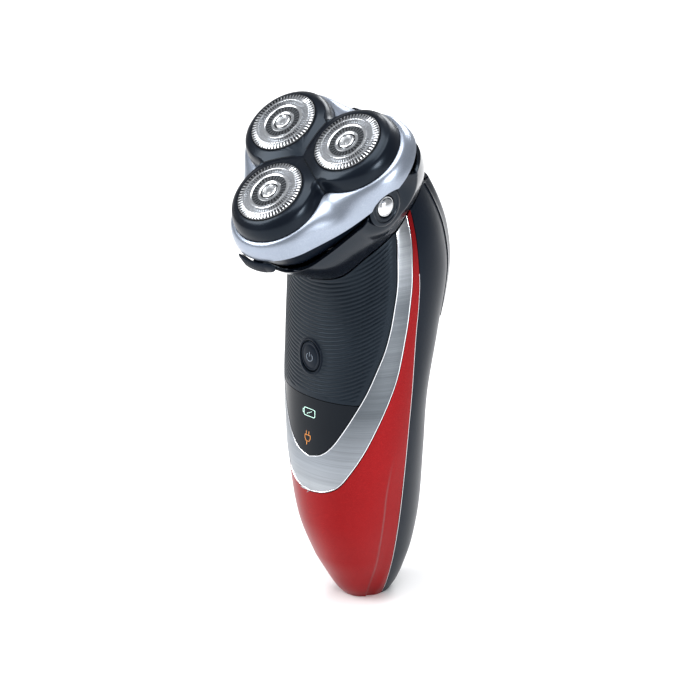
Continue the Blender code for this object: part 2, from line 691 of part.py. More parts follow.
def unit_hinge():
    """The pin the shaving unit opens on. Its ears are the chamber's and its barrel is the frame's."""
    pin = moved(along_x(cylinder(0.8, -7.0, 7.0, sides=12)), 0, HINGE_V, HINGE_N)
    mesh_object("unit_hinge_pin", "steel", pin, head=True)
    bore = hinge_bar("hinge_bore_tool", -9, 9, 0.95)
    chamber, frame = bpy.data.objects["hair_chamber"], bpy.data.objects["head_frame"]
    cut(frame, hinge_bar("ear_room_left_tool", -7.1, -4.6, 2.0))
    cut(frame, hinge_bar("ear_room_right_tool", 4.6, 7.1, 2.0))
    add(frame, hinge_bar("barrel_tool", -4.4, 4.4, 1.7))
    cut(chamber, hinge_bar("barrel_room_tool", -4.6, 4.6, 2.0))
    add(chamber, hinge_bar("ear_left_tool", -6.8, -4.7, 1.7), hinge_bar("ear_right_tool", 4.7, 6.8, 1.7))
    cut(frame, bore)
    cut(chamber, bore)


# ---------------------------------------------------------------- shaving unit, which opens
def head_frame():
    """The silver frame: from the lobes' edge it runs out and down to a rounded triangle."""
    wall = 1.2
    bends = (0, 22, 45, 67, 90, 90, 45, 0)  # down the outside, then back up the inside

    def place(u, v):
        angle, i = 360 * u, int(round(len(bends) * v)) % len(bends)
        outside, bend = i < 5, math.radians(bends[i])
        inner = trefoil(angle, LOBE_R) + GAP
        radius = inner + (rounded_triangle(angle, RING_R) - inner) * math.sin(bend)
        n = RING_TOP + (ring_low(angle) - RING_TOP) * (1 - math.cos(bend))
        if not outside:
            radius, n = radius - wall * math.sin(bend), n - wall * math.cos(bend)
        return polar(radius, angle, n)

    shape = grid(48, len(bends), place)
    bmesh.ops.recalc_face_normals(shape, faces=shape.faces)
    frame = mesh_object("head_frame", "silver_lacquer", shape, head=True)
    notches = []
    for name, side in (("left", -1), ("right", 1)):
        notch = moved(along_x(cylinder(7.3, -6, 6, sides=32)), side * (PIVOT_X + 2), PIVOT_V, PIVOT_N)
        notches.append(mesh_object(f"cap_notch_{name}_tool", None, notch, head=True, cutter=True))
    cut(frame, *notches)


def face_height(p):
    """N of the shaving face: highest round each cutter and lower in between."""
    away = min((p - c).length for c in LOBES) - CUTTER_R
    return -0.5 - 0.42 * max(away - 0.6, 0)


def unit_shell():
    """The black three-lobed shell that the cutters sit in."""
    wall = 1.2
    # Rows from the middle of the inside, out and over the lower edge, to the middle of the face:
    # how far in from the lobes' edge and N, or a share of the way out over the face
    under = (0, 0.45, 0.8, 1, (1.8, -2.9), (0, -8.2))
    over = ((0, -8.2), (0, -5.4), (0.5, -3.4), (1.6, -1.7), 1, 0.85, 0.65, 0.4, 0)
    edge = {step: trefoil(7.5 * step, LOBE_R) for step in range(49)}

    def row(step, kind, inset):
        if isinstance(kind, tuple):
            return polar(edge[step] - kind[0] - inset, 7.5 * step, kind[1])
        p = polar((edge[step] - 2.9 - inset) * kind, 7.5 * step, 0)
        p.z = face_height(p) - inset
        return p

    kinds = [(k, wall) for k in under] + [(k, 0) for k in over]

    def place(u, v):
        kind, inset = kinds[int(round(v * (len(kinds) - 1)))]
        return row(int(round(48 * u)), kind, inset)

    shell = grid(48, len(kinds) - 1, place)
    bmesh.ops.recalc_face_normals(shell, faces=shell.faces)
    shell = mesh_object("unit_shell", "black_gloss", shell, head=True)
    holes = []
    for i, c in enumerate(LOBES, 1):
        hole = cylinder(CUTTER_R + GAP, -12, 4, at=c[:2], sides=30)
        holes.append(mesh_object(f"cutter_hole_{i}_tool", None, hole, head=True, cutter=True))
    cut(shell, *holes)


def retaining_parts():
    outline = [tuple(polar(trefoil(a, LOBE_R) - 1.8, a, 0)[:2]) for a in range(0, 360, 12)]
    holder = mesh_object("retaining_plate", "gear_plastic", plate(outline, -9.8, -8.7), head=True)
    holes = []
    for i, c in enumerate(LOBES, 1):
        holes.append(mesh_object(f"plate_hole_{i}_tool", None, cylinder(6.5, -12, -6, at=c[:2], sides=18),
                                 head=True, cutter=True))
    cut(holder, *holes)
    wings = [(5.2, -1.2), (5.2, 1.2), (3.2, 2.6), (0, 3.6), (-3.2, 2.6), (-5.2, 1.2), (-5.2, -1.2),
             (-3.2, -2.6), (0, -3.6), (3.2, -2.6)]
    mesh_object("lock_wheel", "gear_plastic", plate(wings, LOCK_LOW, LOCK_HIGH), head=True)


def cutters():
    cap = [(CUTTER_R, -3.4), (CUTTER_R, -0.5), (10.1, 0.0), (8.9, 0.25), (5.9, 0.3),
           (2.7, 0.1), (2.7, -0.7), (9.6, -0.7), (9.6, -3.4)]
    disc = [(0, -0.9), (2.4, -0.9), (2.4, 0.1), (1.9, 0.4), (0, 0.1)]
    blade_count = 9
    for i, c in enumerate(LOBES, 1):
        mesh_object(f"cutter_cap_{i}", "steel", turned(cap, at=c[:2], sides=30), head=True)
        mesh_object(f"cap_disc_{i}", "steel", turned(disc, at=c[:2], sides=20), head=True)
        star = []
        for k in range(blade_count):
            for share, r in ((0.0, 3.4), (0.18, 8.7), (0.52, 8.7), (0.5, 3.4)):
                a = math.tau * (k + share) / blade_count
                star.append((r * math.cos(a), r * math.sin(a)))
        star = moved(plate(star, -2.6, -1.2), c.x, c.y, 0)
        rotor = mesh_object(f"rotary_blade_{i}", "steel", star, head=True)
        hub = mesh_object(f"blade_hub_{i}_tool", None, cylinder(3.6, -7.1, -2.0, at=c[:2], sides=20),
                          head=True, cutter=True)
        bore = mesh_object(f"blade_bore_{i}_tool", None, cylinder(2.3, -9, -4.0, at=c[:2], sides=16),
                           head=True, cutter=True)
        add(rotor, hub)
        cut(rotor, bore)


def joint_axes():
    """Each joint's name, a point on its axis in millimetres, and the pieces that it moves."""
    axes = [
        ("press", Vector((0, handle_at(BUTTON_Z)[0], BUTTON_Z)), ["power_button"]),
        ("tilt", HEAD @ Vector((0, PIVOT_V, PIVOT_N)), ["hair_chamber", "chamber_floor", "unit_hinge_pin"]),
        ("opening", HEAD @ Vector((0, HINGE_V, HINGE_N)), ["head_frame", "unit_shell", "retaining_plate"]),
        ("catch", HEAD @ Vector((0, LOBES[0].y - LOBE_R, CATCH_LOW)), ["release_catch"]),
        ("lock", HEAD @ Vector((0, 0, LOCK_LOW)), ["lock_wheel"]),
        ("drive", HEAD @ Vector((0, 0, GEAR_TOP)), ["drive_gear"]),
        ("coupling", HEAD @ Vector((0, 0, COUPLING_TOP)), ["drive_coupling"]),
        ("slide", Vector((0, back_y(0, SLIDE_LOW), SLIDE_LOW)), ["trimmer_slide"]),
    ]
    pin = Vector((0, back_y(0, FLAP_PIN_Z) - FLAP_PIN_DEEP, FLAP_PIN_Z))
    axes.append(("flip", pin, ["trimmer_flap", "trimmer_guard", "trimmer_blade"]))
    for i, c in enumerate(LOBES, 1):
        turning = [f"satellite_gear_{i}", f"drive_spindle_{i}", f"rotary_blade_{i}"]
        axes.append((f"spin_{i}", HEAD @ Vector((c.x, c.y, GEAR_TOP)), turning))
        axes.append((f"float_{i}", HEAD @ c, [f"cutter_cap_{i}", f"cap_disc_{i}"]))
    return axes


def hang_on_axis(name, point, pieces):
    """Puts pieces under an empty on their joint's axis and leaves them where they are."""
    axis = bpy.data.objects.new(name + "_axis", None)
    axis.location = point * MM
    axis.empty_display_size = 5 * MM
    SHOWN.objects.link(axis)
    for piece in pieces:
        obj = bpy.data.objects[piece]
        obj.parent = axis
        obj.matrix_parent_inverse = Matrix.Translation(-point * MM)


def main():
    for obj in list(bpy.data.objects):
        bpy.data.objects.remove(obj)
    for collection in (SHOWN, CUTTERS):
        bpy.context.scene.collection.children.link(collection)
    make_materials()
    grip_panel()
    status_window()
    trim_band()
    front_shell()
    rear_cover()
    trimmer_parts()
    neck_collar()
    pivots()
    foot_and_socket()
    insides()
    power_button()
    hair_chamber()
    gears()
    head_frame()
    unit_hinge()
    unit_shell()
    retaining_parts()
    cutters()
    for axis in joint_axes():
        hang_on_axis(*axis)


main()
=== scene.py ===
"""Looks of a cordless rotary shaver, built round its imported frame.

Lengths are in millimetres here and become metres where each mesh is made. The head has its own axes:
U along X, V up the shaving face and N out of it, from the face's centre.
"""

import json
import math
from functools import lru_cache

import bmesh
import bpy
from mathutils import Matrix, Vector


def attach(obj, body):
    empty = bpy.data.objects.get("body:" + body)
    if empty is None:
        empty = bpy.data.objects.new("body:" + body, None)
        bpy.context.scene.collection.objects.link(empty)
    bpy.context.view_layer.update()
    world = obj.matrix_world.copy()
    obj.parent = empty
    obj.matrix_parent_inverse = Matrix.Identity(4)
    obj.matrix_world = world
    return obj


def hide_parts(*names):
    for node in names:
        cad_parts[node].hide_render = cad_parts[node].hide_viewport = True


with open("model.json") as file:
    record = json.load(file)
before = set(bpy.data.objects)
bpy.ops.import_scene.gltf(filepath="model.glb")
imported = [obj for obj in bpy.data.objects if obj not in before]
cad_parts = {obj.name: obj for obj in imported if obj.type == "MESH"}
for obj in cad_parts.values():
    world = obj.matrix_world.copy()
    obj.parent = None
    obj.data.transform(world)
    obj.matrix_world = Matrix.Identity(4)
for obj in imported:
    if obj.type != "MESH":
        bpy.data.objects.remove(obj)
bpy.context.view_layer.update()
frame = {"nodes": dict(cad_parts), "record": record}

MM = 0.001

# ---------------------------------------------------------------- the shaver's lines
# Handle stations: height, front Y, back Y, half width
HANDLE = (
    (0, -8.6, 7.9, 6.9), (3, -11.2, 10.1, 8.7), (8, -14.3, 12.3, 10.8), (16, -18.8, 14.8, 13.6),
    (30, -23.8, 16.2, 17.3), (50, -25.4, 15.4, 20.8), (70, -25.0, 15.2, 23.0), (90, -24.2, 19.4, 24.0),
    (108, -23.5, 23.4, 24.2), (120, -24.0, 22.8, 22.9), (130, -22.5, 19.6, 20.4), (139, -19.9, 14.6, 17.0),
    (146, -17.3, 8.3, 13.1),
)
SECTION_POWER = 2.1
COLLAR_EDGE = (
    (0, 110.5), (25, 113.2), (45, 119.5), (60, 123.6), (75, 127.6),
    (90, 132.0), (110, 135.6), (140, 138.3), (180, 139.5),
)
# Half angles of the panel edges from the front, by height
GRIP_TIP = 53.5
GRIP_EDGE = ((53.5, 0), (54.8, 11), (57.8, 20.5), (62.4, 28.7), (70.7, 40.5), (77, 48.3), (84.3, 55),
             (90.4, 60), (97, 62.9), (104, 64.6), (112, 67), (121, 69.8), (132, 73))
TRIM_TIP = 41.2
TRIM_EDGE = ((41.2, 0), (41.9, 14), (44.2, 28), (49.5, 39.5), (56.3, 50.1), (64.6, 59.8), (72.6, 67.8),
             (80.2, 73.4), (88, 75.9), (96, 77.4), (105, 78.2), (114, 80.4), (123, 83.6), (134, 85.2))
REAR_EDGE = ((0, 88), (16, 90), (33, 91.5), (58, 91.6), (72, 91), (88, 87.5), (98, 86), (110, 85.6),
             (120, 87.4), (128, 88.8), (135, 90))
CREASE = ((0, 48), (4.6, 55), (12.9, 65.5), (22.4, 70.5), (32, 72.8), (41, 73.2), (52, 76), (60, 82))
WINDOW_TOP = 72.6
BUTTON_Z, BUTTON_HALF_X, BUTTON_HALF_Z = 85.6, 4.0, 4.9
BUTTON_GAP = 0.14
SEAM = 0.12  # half of the visible line between two panels
PROUD = 0.02  # how far a sign's middle line stands out of the surface

FACE_Y, FACE_Z, FACE_TILT = -28.2, 151.5, 37.0
CUTTER_RING, CUTTER_ANGLES, CUTTER_R = 15.4, (-90, 30, 150), 10.5
LOBE_R, LOBE_BLEND = 14.4, 1.5
RING_R, RING_TOP = 17.2, -5.8
PIVOT_X, PIVOT_V, PIVOT_N = 23.2, 0.5, -17.7
BOWL = ((16.4, 0), (14.9, -1.7), (13.8, -4.9), (12.4, -7.9), (9.2, -10.4), (5.5, -12.2), (1.5, -12.8))
FLAP_LOW, FLAP_HIGH, FLAP_HALF, RAISE = 105.0, 136.5, 12.0, 1.5
FLAP_PIN_Y, FLAP_PIN_Z = 15.327, 131.5
HINGE_AT = (0, 25.3, -14.6)  # the unit's hinge, in the head's axes
SLOTS = 60  # in the outer ring of each cutter; the inner ring has half as many
COOL = (0.62, 0.80, 1.0, 1)  # tint of the reflections on black
VIEW = 680  # side of the square that the lens and its shift are stated for

HEAD = Matrix.Translation((0, FACE_Y, FACE_Z)) @ Matrix.Rotation(math.radians(FACE_TILT), 4, "X")


def curve_through(stations):
    """A smooth function through (position, value, ...) stations; it gives one number or a tuple."""
    xs = [s[0] for s in stations]
    width = len(stations[0]) - 1

    def slope(i, k):
        a, b = max(i - 1, 0), min(i + 1, len(xs) - 1)
        return (stations[b][k] - stations[a][k]) / (xs[b] - xs[a])

    def at(x):
        x = min(max(x, xs[0]), xs[-1])
        i = max(j for j in range(len(xs) - 1) if xs[j] <= x)
        h = xs[i + 1] - xs[i]
        t = (x - xs[i]) / h
        found = []
        for k in range(1, width + 1):
            p, q = stations[i][k], stations[i + 1][k]
            found.append(
                p * (1 + 2 * t) * (1 - t) ** 2
                + q * t * t * (3 - 2 * t)
                + h * (slope(i, k) * t * (1 - t) ** 2 - slope(i + 1, k) * t * t * (1 - t))
            )
        return found[0] if width == 1 else tuple(found)

    return lru_cache(maxsize=None)(at)


handle_at = curve_through(HANDLE)
collar_edge = curve_through(COLLAR_EDGE)
grip_edge = curve_through(GRIP_EDGE)
trim_edge = curve_through(TRIM_EDGE)
rear_edge = curve_through(REAR_EDGE)
crease = curve_through(CREASE)
collar_rim = curve_through((
    # angle from the chin, corner radius, N
    (0, 13.0, -22.1), (30, 14.4, -20.9), (60, 16.1, -17.9), (90, 16.4, -15.4), (120, 16.6, -15.2),
    (150, 16.6, -17.0), (180, 16.4, -18.8),
))


def power(x, p):
    return math.copysign(abs(x) ** p, x)


def skin(z, degrees, inset=0.0):
    """A point on the handle's outer surface, taken in by inset: height and angle from the front."""
    front, back, half = handle_at(z)
    middle, depth = (front + back) / 2, (back - front) / 2 - inset
    a = math.radians(degrees)
    return Vector((
        (half - inset) * power(math.sin(a), 2 / SECTION_POWER),
        middle - depth * power(math.cos(a), 2 / SECTION_POWER),
        z,
    ))


def back_y(x, z, inset=0.0):
    """Y of the handle's back surface at x and z."""
    front, back, half = handle_at(z)
    depth = (back - front) / 2 - inset
    share = min(abs(x) / (half - inset), 1.0)
    return (front + back) / 2 + depth * (1 - share ** SECTION_POWER) ** (1 / SECTION_POWER)


def skin_front(x, z):
    """Y of the handle's front surface at x and z."""
    front, back, half = handle_at(z)
    share = min(abs(x) / half, 1)
    return (front + back) / 2 - (back - front) / 2 * (1 - share ** SECTION_POWER) ** (1 / SECTION_POWER)


LOBES = [Vector((CUTTER_RING * math.cos(math.radians(a)), CUTTER_RING * math.sin(math.radians(a)), 0))
         for a in CUTTER_ANGLES]


@lru_cache(maxsize=None)
def trefoil(degrees):
    """Distance from the face's centre to the edge of three blended lobes, in this direction."""
    a = math.radians(degrees)
    low, high = 0.0, 60.0
    for _ in range(36):
        middle = (low + high) / 2
        p = Vector((middle * math.cos(a), middle * math.sin(a), 0))
        total = sum(math.exp(-((p - c).length - LOBE_R) / LOBE_BLEND) for c in LOBES)
        low, high = (middle, high) if total > 1 else (low, middle)
    return low


def rounded_triangle(degrees, corner):
    """Distance to the edge of a triangle whose corners are arcs round the cutters' centres."""
    a = math.radians((degrees + 90 + 60) % 120 - 60)
    tangent = math.atan2(corner * math.sin(math.pi / 3), CUTTER_RING + corner * math.cos(math.pi / 3))
    if abs(a) <= tangent:
        return CUTTER_RING * math.cos(a) + math.sqrt(corner ** 2 - (CUTTER_RING * math.sin(a)) ** 2)
    return (CUTTER_RING / 2 + corner) / math.cos(math.pi / 3 - abs(a))


def ring_low(degrees):
    """N of the frame's lower edge: deepest between the lobes."""
    return -12.4 + 1.4 * math.cos(math.radians(3 * (degrees + 90)))


def polar(radius, degrees, n):
    a = math.radians(degrees)
    return Vector((radius * math.cos(a), radius * math.sin(a), n))


def near_pivot(p, flat, slope, lift=0.0):
    """Brings a point of the head to a flat place round the pivot, flat mm from the middle."""
    away = abs(p.y - PIVOT_V)
    limit = flat + slope * max(away - 5, 0) ** 2
    x = min(abs(p.x), limit)
    near = min(max((11 - math.hypot(away, p.z - PIVOT_N)) / 4.5, 0), 1) * lift
    x += (flat - x) * near * near * (3 - 2 * near)
    return Vector((math.copysign(x, p.x), p.y, p.z))


# ---------------------------------------------------------------- finishes
class Wire:
    """A socket that takes part in arithmetic."""

    def __init__(self, finish, socket):
        self.finish, self.socket = finish, socket

    def _maths(self, operation, *values):
        return self.finish.node("ShaderNodeMath", {"operation": operation}, dict(enumerate(values)))

    def __add__(self, other):
        return self._maths("ADD", self, other)

    def __sub__(self, other):
        return self._maths("SUBTRACT", self, other)

    def __rsub__(self, other):
        return self._maths("SUBTRACT", other, self)

    def __mul__(self, other):
        return self._maths("MULTIPLY", self, other)

    def __truediv__(self, other):
        return self._maths("DIVIDE", self, other)

    def __gt__(self, other):
        return self._maths("GREATER_THAN", self, other)

    def __lt__(self, other):
        return self._maths("LESS_THAN", self, other)

    __radd__ = __add__
    __rmul__ = __mul__

    def clamped(self):
        return self.finish.node("ShaderNodeClamp", {}, {0: self})


class Finish:
    """A material and the few calls that fill in its nodes."""

    def __init__(self, name, **constants):
        self.material = bpy.data.materials.new(name)
        self.material.use_nodes = True
        self.tree = self.material.node_tree
        self.shader = self.tree.nodes["Principled BSDF"]
        for socket, value in constants.items():
            self.shader.inputs[socket.replace("_", " ").title().replace("Ior", "IOR")].default_value = value

    def node(self, kind, settings=None, inputs=None, output=0):
        made = self.tree.nodes.new(kind)
        for key, value in (settings or {}).items():
            if key == "stops":
                for i, (at, colour) in enumerate(value):
                    stop = made.color_ramp.elements[i] if i < 2 else made.color_ramp.elements.new(at)
                    stop.position, stop.color = at, (*colour, 1)
            else:
                setattr(made, key, value)
        for key, value in (inputs or {}).items():
            if isinstance(value, Wire):
                self.tree.links.new(value.socket, made.inputs[key])
            else:
                made.inputs[key].default_value = value
        return Wire(self, made.outputs[output])

    def place(self, *scale):
        """The piece's own coordinates, scaled."""
        at = self.node("ShaderNodeTexCoord", output=3)
        return self.node("ShaderNodeVectorMath", {"operation": "MULTIPLY"}, {0: at, 1: scale})

    def noise(self, scale, detail=2.0, stretch=(1, 1, 1)):
        return self.node("ShaderNodeTexNoise", {"noise_dimensions": "3D"},
                         {"Vector": self.place(*stretch), "Scale": scale, "Detail": detail})

    def mix(self, factor, a, b):
        a, b = ((*c, 1) if isinstance(c, tuple) else c for c in (a, b))
        return self.node("ShaderNodeMix", {"data_type": "RGBA"}, {0: factor, 6: a, 7: b}, output=2)

    def feed(self, **sockets):
        for socket, wire in sockets.items():
            self.tree.links.new(wire.socket, self.shader.inputs[socket.replace("_", " ").title()])
        return self

    def bump(self, height, distance, strength=1.0):
        made = self.node("ShaderNodeBump", {}, {"Strength": strength, "Distance": distance, "Height": height})
        return self.feed(normal=made)


def gloss_black():
    f = Finish("gloss_black", coat_weight=0.08, coat_roughness=0.06, specular_ior_level=0.26,
               specular_tint=COOL)
    haze = f.noise(90, 4)
    f.feed(base_color=f.mix(haze, (0.0015, 0.002, 0.004), (0.003, 0.005, 0.009)), roughness=0.12 + 0.1 * haze)
    return f.bump(f.noise(700, 1), 0.00002, 0.25)


def satin_black():
    f = Finish("satin_black", coat_weight=0.04, coat_roughness=0.3, specular_ior_level=0.12,
               specular_tint=COOL)
    grain, drift = f.noise(4200, 1), f.noise(45, 3)
    f.feed(base_color=f.mix(drift, (0.002, 0.0035, 0.007), (0.004, 0.007, 0.013)),
           roughness=(0.27 + 0.1 * drift + 0.06 * grain).clamped())
    return f.bump(grain, 0.00002, 0.5)


def soft_black():
    f = Finish("soft_grip_black", coat_weight=0.03, coat_roughness=0.35, specular_ior_level=0.24,
               specular_tint=COOL)
    grain, drift = f.noise(5200, 2), f.noise(60, 3)
    f.feed(base_color=f.mix(drift, (0.002, 0.0035, 0.006), (0.005, 0.008, 0.012)),
           roughness=(0.34 + 0.16 * grain).clamped())
    return f.bump(grain, 0.00003, 0.6)


def red_metallic():
    f = Finish("red_metallic", metallic=0.8, coat_weight=0.14, coat_roughness=0.1, specular_ior_level=0.15)
    flake, drift = f.noise(6500, 1), f.noise(22, 2)
    deep = f.mix(drift, (0.17, 0.0016, 0.003), (0.27, 0.0032, 0.006))
    f.feed(base_color=f.mix(((flake - 0.52) * 5).clamped() * 0.5, deep, (0.5, 0.02, 0.018)),
           roughness=0.3 + 0.14 * flake)
    return f.bump(flake, 0.00002, 0.25)


# Painted reflection: light and dark sweeps up the band, by height over 140 mm
BAND_PAINTED_REFLECTIONS = ((0.28, (1.0, 1.0, 1.0)), (0.36, (0.75, 0.77, 0.80)), (0.50, (0.30, 0.32, 0.34)),
              (0.64, (0.42, 0.44, 0.46)), (0.74, (0.34, 0.36, 0.38)), (0.84, (0.95, 0.96, 0.98)),
              (0.95, (0.6, 0.6, 0.6)))


def brushed_metal():
    f = Finish("brushed_metal", metallic=1.0)
    lines = f.noise(1.0, 3, (38, 38, 6500))
    wide = f.noise(1.0, 2, (22, 22, 900))
    grain = (0.6 * lines + 0.4 * wide).clamped()
    height = f.node("ShaderNodeSeparateXYZ", {}, {0: f.place(1, 1, 1000)}, output=2)
    # painted reflection: the band's colour is multiplied by these light and dark sweeps by height
    painted_reflection_sweep = f.node("ShaderNodeValToRGB", {"stops": BAND_PAINTED_REFLECTIONS}, {0: height / 140})
    tone = f.mix(grain, (0.13, 0.14, 0.15), (0.55, 0.58, 0.61))
    tone_with_painted_reflection = f.node("ShaderNodeMix", {"data_type": "RGBA", "blend_type": "MULTIPLY"},
                    {0: 1.0, 6: tone, 7: painted_reflection_sweep}, 2)
    f.feed(base_color=tone_with_painted_reflection, roughness=0.26 + 0.2 * grain)
    return f.bump(grain, 0.00003, 0.5)


def polished_edge():
    f = Finish("polished_edge", metallic=1.0)
    wear = f.noise(300, 2)
    return f.feed(base_color=f.mix(wear, (0.78, 0.80, 0.84), (0.93, 0.94, 0.96)),
                  roughness=0.08 + 0.1 * wear)


def silver_lacquer():
    f = Finish("silver_lacquer", metallic=0.85, coat_weight=0.25, coat_roughness=0.12)
    flake, drift = f.noise(5600, 1), f.noise(30, 2)
    base = f.mix(drift, (0.24, 0.28, 0.35), (0.31, 0.35, 0.42))
    f.feed(base_color=f.mix(((flake - 0.5) * 4).clamped() * 0.4, base, (0.55, 0.60, 0.68)),
           roughness=0.27 + 0.12 * flake)
    return f.bump(flake, 0.00002, 0.2)


def bright_steel(name="bright_steel", tone=1.0, rough=0.16):
    f = Finish(name, metallic=1.0)
    fine, wear = f.noise(2600, 2), f.noise(120, 3)
    low, high = (tuple(c * tone for c in grey) for grey in ((0.56, 0.58, 0.60), (0.86, 0.87, 0.88)))
    f.feed(base_color=f.mix(wear, low, high), roughness=(rough + 0.12 * fine + 0.06 * wear).clamped())
    return f.bump(fine, 0.00001, 0.4)


def cutter_steel():
    """Bright lands and slot floors painted near black as shade: a slot is below the cap's face, which its own height
    tells.
    """
    f = Finish("cutter_steel", metallic=1.0)
    height = f.node("ShaderNodeSeparateXYZ", {}, {0: f.place(1, 1, 1000)}, output=2)
    # painted shade: below the cap's face the colour goes near black, with less metal and more roughness
    deep = ((-0.05 - height) * 6).clamped()
    fine = f.noise(2400, 2)
    at = f.place(1000, 1000, 0)
    radius = f.node("ShaderNodeVectorMath", {"operation": "LENGTH"}, {0: at}, output=1)
    ringed = (radius > 3.75) * (radius < 5.6)
    land = f.mix(ringed * 0.7, f.mix(fine, (0.55, 0.58, 0.61), (0.95, 0.96, 0.98)), (0.16, 0.18, 0.20))
    f.feed(base_color=f.mix(deep, land, (0.004, 0.006, 0.009)),
           roughness=(0.12 + 0.14 * fine + 0.35 * deep).clamped(), metallic=1 - 0.9 * deep)
    return f.bump(fine, 0.00001, 0.4)


def smoked_window():
    f = Finish("smoked_window", coat_weight=0.1, coat_roughness=0.03, specular_ior_level=0.12,
               specular_tint=COOL)
    haze = f.noise(60, 3)
    f.feed(base_color=f.mix(haze, (0.001, 0.001, 0.002), (0.003, 0.004, 0.006)), roughness=0.07 + 0.07 * haze)
    return f.bump(f.noise(500, 1), 0.00002, 0.15)


def icon_glow(name, colour, strength):
    f = Finish(name, roughness=0.4, emission_strength=strength)
    uneven = f.noise(900, 2)
    dim = tuple(0.7 * c for c in colour)
    return f.feed(base_color=f.mix(uneven, dim, colour), emission_color=f.mix(uneven, dim, colour))


def symbol_black():
    f = Finish("symbol_black", coat_weight=0.4, coat_roughness=0.15)
    haze = f.noise(800, 2)
    return f.feed(base_color=f.mix(haze, (0.10, 0.13, 0.17), (0.16, 0.20, 0.25)), roughness=0.2 + 0.12 * haze)


def moulded(name, dark, light, rough=0.42):
    f = Finish(name)
    grain, drift = f.noise(3000, 2), f.noise(70, 3)
    f.feed(base_color=f.mix(drift, dark, light), roughness=(rough + 0.15 * grain).clamped())
    return f.bump(grain, 0.00003, 0.4)


GLOSS, SATIN, SOFT = gloss_black(), satin_black(), soft_black()
RED, BRUSHED, POLISHED, SILVER = red_metallic(), brushed_metal(), polished_edge(), silver_lacquer()
STEEL, CUTTER, WINDOW = bright_steel(), cutter_steel(), smoked_window()
MINT = icon_glow("mint_icon", (0.62, 0.95, 0.82), 0.9)
AMBER = icon_glow("amber_icon", (0.80, 0.30, 0.06), 0.35)
SYMBOL = symbol_black()

# ---------------------------------------------------------------- making pieces
def settle_mesh(name, bm, finishes, body, replaces=(), head=None, angle=40):
    """A shaded object from a bmesh in millimetres, riding on a body.

    A head piece is made in the head's axes, from the point that head gives.
    """
    mesh = bpy.data.meshes.new(name)
    bmesh.ops.scale(bm, vec=(MM, MM, MM), verts=bm.verts)
    bm.to_mesh(mesh)
    bm.free()
    return settle_object(name, mesh, finishes, body, replaces, head, angle)


def settle_object(name, data, finishes, body, replaces=(), head=None, angle=40):
    piece = bpy.data.objects.new(name, data)
    bpy.context.scene.collection.objects.link(piece)
    for finish in finishes:
        piece.data.materials.append(finish.material)
    if isinstance(data, bpy.types.Mesh):
        data.shade_smooth()
        data.set_sharp_from_angle(angle=math.radians(angle))
    if head is not None:
        at = (HEAD @ Vector(head)) * MM
        piece.matrix_world = Matrix.Translation(at) @ HEAD.to_3x3().to_4x4()
    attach(piece, body)
    if replaces:
        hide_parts(*replaces)
    return piece


def grid(columns, rows, place):
    """A grid sheet bent by place(u, v), with u and v from 0 to 1. Points that meet are joined."""
    bm = bmesh.new()
    bmesh.ops.create_grid(bm, x_segments=columns, y_segments=rows, size=1)
    for vertex in bm.verts:
        vertex.co = place((vertex.co.x + 1) / 2, (vertex.co.y + 1) / 2)
    bmesh.ops.remove_doubles(bm, verts=bm.verts, dist=0.004)
    bmesh.ops.dissolve_degenerate(bm, edges=bm.edges, dist=0.002)
    return bm


def face_out(bm, centre):
    """Turns an open sheet's faces away from a point inside it."""
    bmesh.ops.recalc_face_normals(bm, faces=bm.faces)
    if sum((f.calc_center_median() - Vector(centre)).dot(f.normal) * f.calc_area() for f in bm.faces) < 0:
        bmesh.ops.reverse_faces(bm, faces=bm.faces)
    return bm


def wall(bm, thickness, round_edge=0.22):
    """Gives an open sheet a skirt inwards from its rim, as the visible depth of a wall, and rounds the rim."""
    rim = [e for e in bm.edges if len(e.link_faces) == 1]
    bm.verts.index_update()
    rim_verts = {v.index for e in rim for v in e.verts}
    bm.normal_update()
    skirt = {v.index: bm.verts.new(v.co - v.normal * thickness) for v in list(bm.verts) if v.index in rim_verts}
    for e in rim:
        loop = next(l for l in e.link_faces[0].loops if l.edge == e)
        a, b = loop.vert, loop.link_loop_next.vert
        bm.faces.new((b, a, skirt[a.index], skirt[b.index]))
    if round_edge:
        bmesh.ops.bevel(bm, geom=rim, offset=round_edge, segments=2, affect="EDGES", profile=0.5,
                        clamp_overlap=True)
    return bm


def tube(name, points, radius, finish, body, replaces=(), closed=False):
    """A thin rod along points in millimetres, in the shaver's frame."""
    data = bpy.data.curves.new(name, "CURVE")
    data.dimensions = "3D"
    data.bevel_depth = radius * MM
    data.bevel_resolution = 2
    data.use_fill_caps = True
    for run in (points if isinstance(points[0], (list, tuple)) else [points]):
        spline = data.splines.new("POLY")
        spline.points.add(len(run) - 1)
        for point, p in zip(spline.points, run):
            point.co = (*(Vector(p) * MM), 1)
        spline.use_cyclic_u = closed
    return settle_object(name, data, [finish], body, replaces)


def turned(profile, sides=96):
    """A solid turned round the third axis from an open or closed run of (radius, height) points."""
    bm = bmesh.new()
    rings = []
    for r, h in profile:
        count = 1 if r == 0 else sides
        rings.append([bm.verts.new(polar(r, 360 * k / sides, h)) for k in range(count)])
    for low, high in zip(rings, rings[1:]):
        for k in range(sides):
            j = (k + 1) % sides
            corners = [low[k % len(low)], low[j % len(low)], high[j % len(high)], high[k % len(high)]]
            kept = list(dict.fromkeys(corners))
            if len(kept) > 2:
                bm.faces.new(kept)
    bmesh.ops.recalc_face_normals(bm, faces=bm.faces)
    return bm


def smooth_step(x):
    x = min(max(x, 0.0), 1.0)
    return x * x * (3 - 2 * x)


# ---------------------------------------------------------------- handle
def seam(z):
    """The half seam as an angle at this height."""
    return math.degrees(SEAM / (handle_at(z)[2] + 1e-6))


